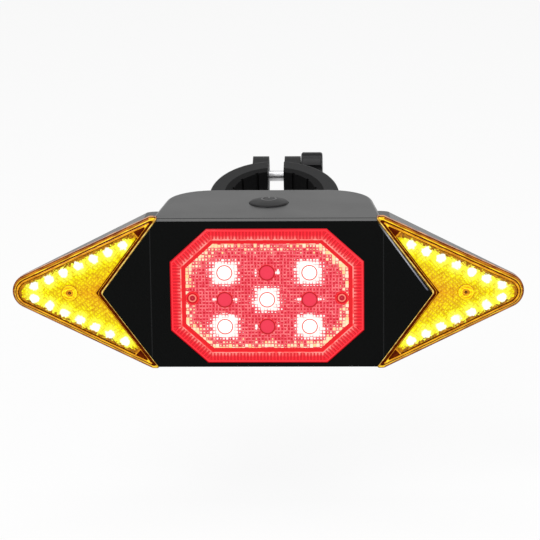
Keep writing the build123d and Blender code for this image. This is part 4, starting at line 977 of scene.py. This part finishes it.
def make_finishes(settings, stop):
    """Every material of the lamp, by a short name."""
    brown, amber, nylon = tuple(settings.brown), tuple(settings.amber), (0.0045, 0.0046, 0.0050)
    return {
        "housing": housing_plastic("satin_black_housing", settings.housing),
        "panel": panel_plastic("black_front_panel", settings.housing),
        "seal": soft_rubber("black_seal_rubber", (0.012, 0.012, 0.012)),
        "tray": white_tray_plastic("white_tray"),
        "board": circuit_board("green_circuit_board", (0.012, 0.12, 0.045)),
        "epoxy": clear_epoxy("clear_light_epoxy", (0.95, 0.93, 0.85), 0.6),
        "steel": plated_metal("zinc_plated_steel", (0.6, 0.6, 0.61)),
        "radio": radio_metal("radio_board_and_can", (0.02, 0.07, 0.24)),
        "wrap": shrink_wrap("cell_shrink_wrap", (0.04, 0.2, 0.34)),
        "cradle": moulded_plastic("black_holder", (0.02, 0.02, 0.02), 0.5, 1800.0, 0.4),
        "wire": insulated_wire("red_wire"),
        "button": soft_rubber("button_rubber", (0.006, 0.006, 0.0063), 0.5, 0.16),
        "mark": soft_rubber("button_mark_rubber", (0.03, 0.03, 0.031), 0.4, 0.5),
        "bracket": moulded_plastic("filled_nylon_bracket", nylon, 0.5, 1500.0, 0.16),
        "pad": soft_rubber("ribbed_pad_rubber", (0.007, 0.007, 0.0072), 0.75, 0.06),
        "knob": moulded_plastic("knob_plastic", nylon, 0.42, 1900.0, 0.2),
        "red_band": red_plastic("red_ribbed_band", (0.97, 0.020, 0.034), 0.85, -0.40, -0.06),
        "red_ribs": lit_red_ribs("red_lit_ribs", (0.97, 0.022, 0.036), stop.rib_pitch),
        "red_step": red_plastic("red_step", (0.93, 0.010, 0.018), 0.85, -0.3, 0.9),
        # Darker red for the grooves round the unlit windows and on the bosses: painted shade.
        "red_deep": red_plastic("red_groove_painted_shade", (0.50, 0.002, 0.008), 0.75, -0.3, 0.5),
        "red_window": red_plastic("red_unlit_window", (0.80, 0.030, 0.070), 0.85, -0.42, -0.1),
        "red_prisms": lit_red_prisms("red_lit_prisms", settings, stop.prism_width, stop.prism_height),
        "window_lit": lit_window("white_lit_window"),
        "window_ring": red_plastic("red_window_ring", (0.84, 0.10, 0.08), 0.85, -0.3, 0.9),
        "window_rim": red_plastic("pink_window_rim", (0.85, 0.22, 0.15), 0.85, -0.3, 0.9),
        "amber": amber_plastic("amber_rim", amber, 0.7),
        "amber_bright": amber_plastic("amber_bright_line", (1.0, 0.72, 0.02), 0.85, 0.62),
        "amber_yellow": amber_plastic("amber_boss_ring", (1.0, 0.80, 0.005), 0.9, 0.8),
        "amber_warm": amber_plastic("amber_lip", (0.86, 0.42, 0.012), 0.8, 0.6),
        "amber_brown": amber_plastic("amber_dark_line", brown, 0.75, 0.5, 0.02),
        "amber_pocket": amber_plastic("amber_painted_shade_pocket", brown, 0.75, 0.6, 0.02),
        "amber_cream": amber_plastic("amber_cream_highlight_edge", (1.0, 0.74, 0.18), 0.95, 0.6),
        "amber_prisms": lit_amber_prisms("amber_lit_prisms", settings),
    }


def area_lamp(name, place, size, watts, target):
    """A soft lamp that looks at a point."""
    light = bpy.data.lights.new(name, "AREA")
    light.shape = "RECTANGLE"
    light.size, light.size_y = size
    light.energy = watts
    lamp = bpy.data.objects.new(name, light)
    lamp.location = place
    lamp.rotation_euler = (target - Vector(place)).to_track_quat("-Z", "Y").to_euler()
    bpy.context.scene.collection.objects.link(lamp)


def seen_ray(finish):
    """1 for rays that show the backdrop: straight from the camera, in gloss or through glass."""
    paths = finish.node("ShaderNodeLightPath").outputs
    camera, gloss, glass = [Number(finish, paths[f"Is {name} Ray"]) for name in
                            ("Camera", "Glossy", "Transmission")]
    return finish.least(camera + gloss + glass, 1.0)


def floor_paper():
    """Pale paper that keeps the object's shadow, with nothing to see from below."""
    finish = Finish("floor_paper")
    shade = finish.mix(finish.noise(30.0, 3.0), (0.88, 0.88, 0.88), (0.92, 0.92, 0.92))
    diffuse = finish.node("ShaderNodeBsdfDiffuse", Color=shade)
    glow = finish.node("ShaderNodeEmission", Color=(1, 1, 1), Strength=1.0)
    paper = finish.node("ShaderNodeMixShader", in_0=seen_ray(finish) * 0.9, in_1=diffuse.outputs[0],
                        in_2=glow.outputs[0])
    behind = finish.node("ShaderNodeNewGeometry").outputs["Backfacing"]
    clear = finish.node("ShaderNodeBsdfTransparent")
    shader = finish.node("ShaderNodeMixShader", in_0=behind, in_1=paper.outputs[0], in_2=clear.outputs[0])
    finish.node("ShaderNodeOutputMaterial", in_0=shader.outputs[0])
    return finish.owner


def studio_floor(drop):
    """A wide flat floor under the lamp."""
    reach, base = FLOOR_REACH, CAD_BOX[0].z - drop
    mesh = bpy.data.meshes.new("floor")
    corners = [(-reach, -reach, base), (reach, -reach, base), (reach, reach, base), (-reach, reach, base)]
    mesh.from_pydata(corners, [], [(0, 1, 2, 3)])
    mesh.materials.append(floor_paper())
    piece = bpy.data.objects.new("floor", mesh)
    bpy.context.scene.collection.objects.link(piece)
    piece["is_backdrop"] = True


def studio_world(level):
    """Even light all round, and plain white where the camera or a gloss sees it."""
    world = bpy.data.worlds.new("studio")
    bpy.context.scene.world = world
    finish = Finish(owner=world)
    strength = level + (1 - level) * seen_ray(finish)
    background = finish.node("ShaderNodeBackground", Color=(1, 1, 1), Strength=strength)
    finish.node("ShaderNodeOutputWorld", in_0=background.outputs[0])


def studio_camera(settings, target):
    """The camera, at its distance from the target and turned to look at it."""
    turn, lift = settings.azimuth, settings.elevation
    back = Vector((sin(turn) * cos(lift), -cos(turn) * cos(lift), sin(lift)))
    data = bpy.data.cameras.new("camera")
    data.sensor_width, data.lens = 36, settings.lens
    data.clip_start, data.clip_end = 0.01, 20
    camera = bpy.data.objects.new("camera", data)
    camera.location = target + back * settings.distance
    aim = (-back).to_track_quat("-Z", "Y").to_matrix() @ Matrix.Rotation(settings.roll, 3, "Z")
    camera.rotation_euler = aim.to_euler()
    bpy.context.scene.collection.objects.link(camera)
    bpy.context.scene.camera = camera


class LAMP_OT_finishes(bpy.types.Operator):
    """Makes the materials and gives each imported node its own"""
    bl_idname = "turn_light.finishes"
    bl_label = "Finishes"

    def execute(self, context):
        FINISHES.update(make_finishes(context.scene.turn_light_finish, context.scene.turn_light_stop))
        bare = set(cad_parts) - REPLACED
        for finish, names in NODE_FINISHES.items():
            for name in names:
                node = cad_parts[name]
                node.data.materials.clear()
                node.data.materials.append(FINISHES[finish])
                bare.discard(name)
        if bare:
            raise RuntimeError(f"nodes with no finish: {sorted(bare)}")
        return {"FINISHED"}


class LAMP_OT_brake_lens(bpy.types.Operator):
    """Models the brake light lens with its ribs, prisms and windows"""
    bl_idname = "turn_light.brake_lens"
    bl_label = "Brake Lens"

    def execute(self, context):
        build_stop_lens(context.scene.turn_light_stop, FINISHES)
        return {"FINISHED"}


class LAMP_OT_turn_lenses(bpy.types.Operator):
    """Models the left and the right arrow lens"""
    bl_idname = "turn_light.turn_lenses"
    bl_label = "Turn Lenses"

    def execute(self, context):
        for side_name, wing in (("right", 1), ("left", -1)):
            build_arrow_lens(side_name, wing, context.scene.turn_light_arrow, FINISHES)
        return {"FINISHED"}


class LAMP_OT_button_mark(bpy.types.Operator):
    """Models the raised mark on the power button"""
    bl_idname = "turn_light.button_mark"
    bl_label = "Button Mark"

    def execute(self, context):
        build_button_mark(FINISHES)
        return {"FINISHED"}


class LAMP_OT_stage(bpy.types.Operator):
    """Sets up the camera, the lamps and the backdrop"""
    bl_idname = "turn_light.stage"
    bl_label = "Studio"

    def execute(self, context):
        settings = context.scene.turn_light_stage
        target = Vector(settings.target)
        context.scene.view_settings.view_transform = "Standard"
        studio_world(settings.world_level)
        studio_floor(settings.floor_drop)
        studio_camera(settings, target)
        for lamp in STUDIO_LAMPS:
            area_lamp(*lamp, target)
        return {"FINISHED"}


class LAMP_PT_panel(bpy.types.Panel):
    """Lists the steps that make the lamp"""
    bl_idname = "LAMP_PT_turn_light"
    bl_label = "Turn Light"
    bl_space_type = "VIEW_3D"
    bl_region_type = "UI"
    bl_category = "Turn Light"

    def draw(self, context):
        for step in STEPS:
            self.layout.operator(step.bl_idname)
        for name in SETTINGS:
            group = getattr(context.scene, name)
            box = self.layout.box()
            for field in group.bl_rna.properties:
                if field.identifier not in ("rna_type", "name"):
                    box.prop(group, field.identifier)


STEPS = (LAMP_OT_finishes, LAMP_OT_stage, LAMP_OT_brake_lens, LAMP_OT_turn_lenses, LAMP_OT_button_mark)
SETTINGS = {
    "turn_light_stop": StopLensSettings,
    "turn_light_arrow": ArrowLensSettings,
    "turn_light_finish": FinishSettings,
    "turn_light_stage": StageSettings,
}


def register():
    for kind in (*SETTINGS.values(), *STEPS, LAMP_PT_panel):
        bpy.utils.register_class(kind)
    for name, kind in SETTINGS.items():
        setattr(bpy.types.Scene, name, PointerProperty(type=kind))


def unregister():
    for name in SETTINGS:
        delattr(bpy.types.Scene, name)
    for kind in reversed((*SETTINGS.values(), *STEPS, LAMP_PT_panel)):
        bpy.utils.unregister_class(kind)


def main():
    register()
    bpy.ops.turn_light.finishes()
    bpy.ops.turn_light.stage()
    bpy.ops.turn_light.brake_lens()
    bpy.ops.turn_light.turn_lenses()
    bpy.ops.turn_light.button_mark()
    ({"cad": [list(corner) for corner in CAD_BOX],
               "visual": [list(corner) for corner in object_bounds()]})


if __name__ == "__main__":
    main()
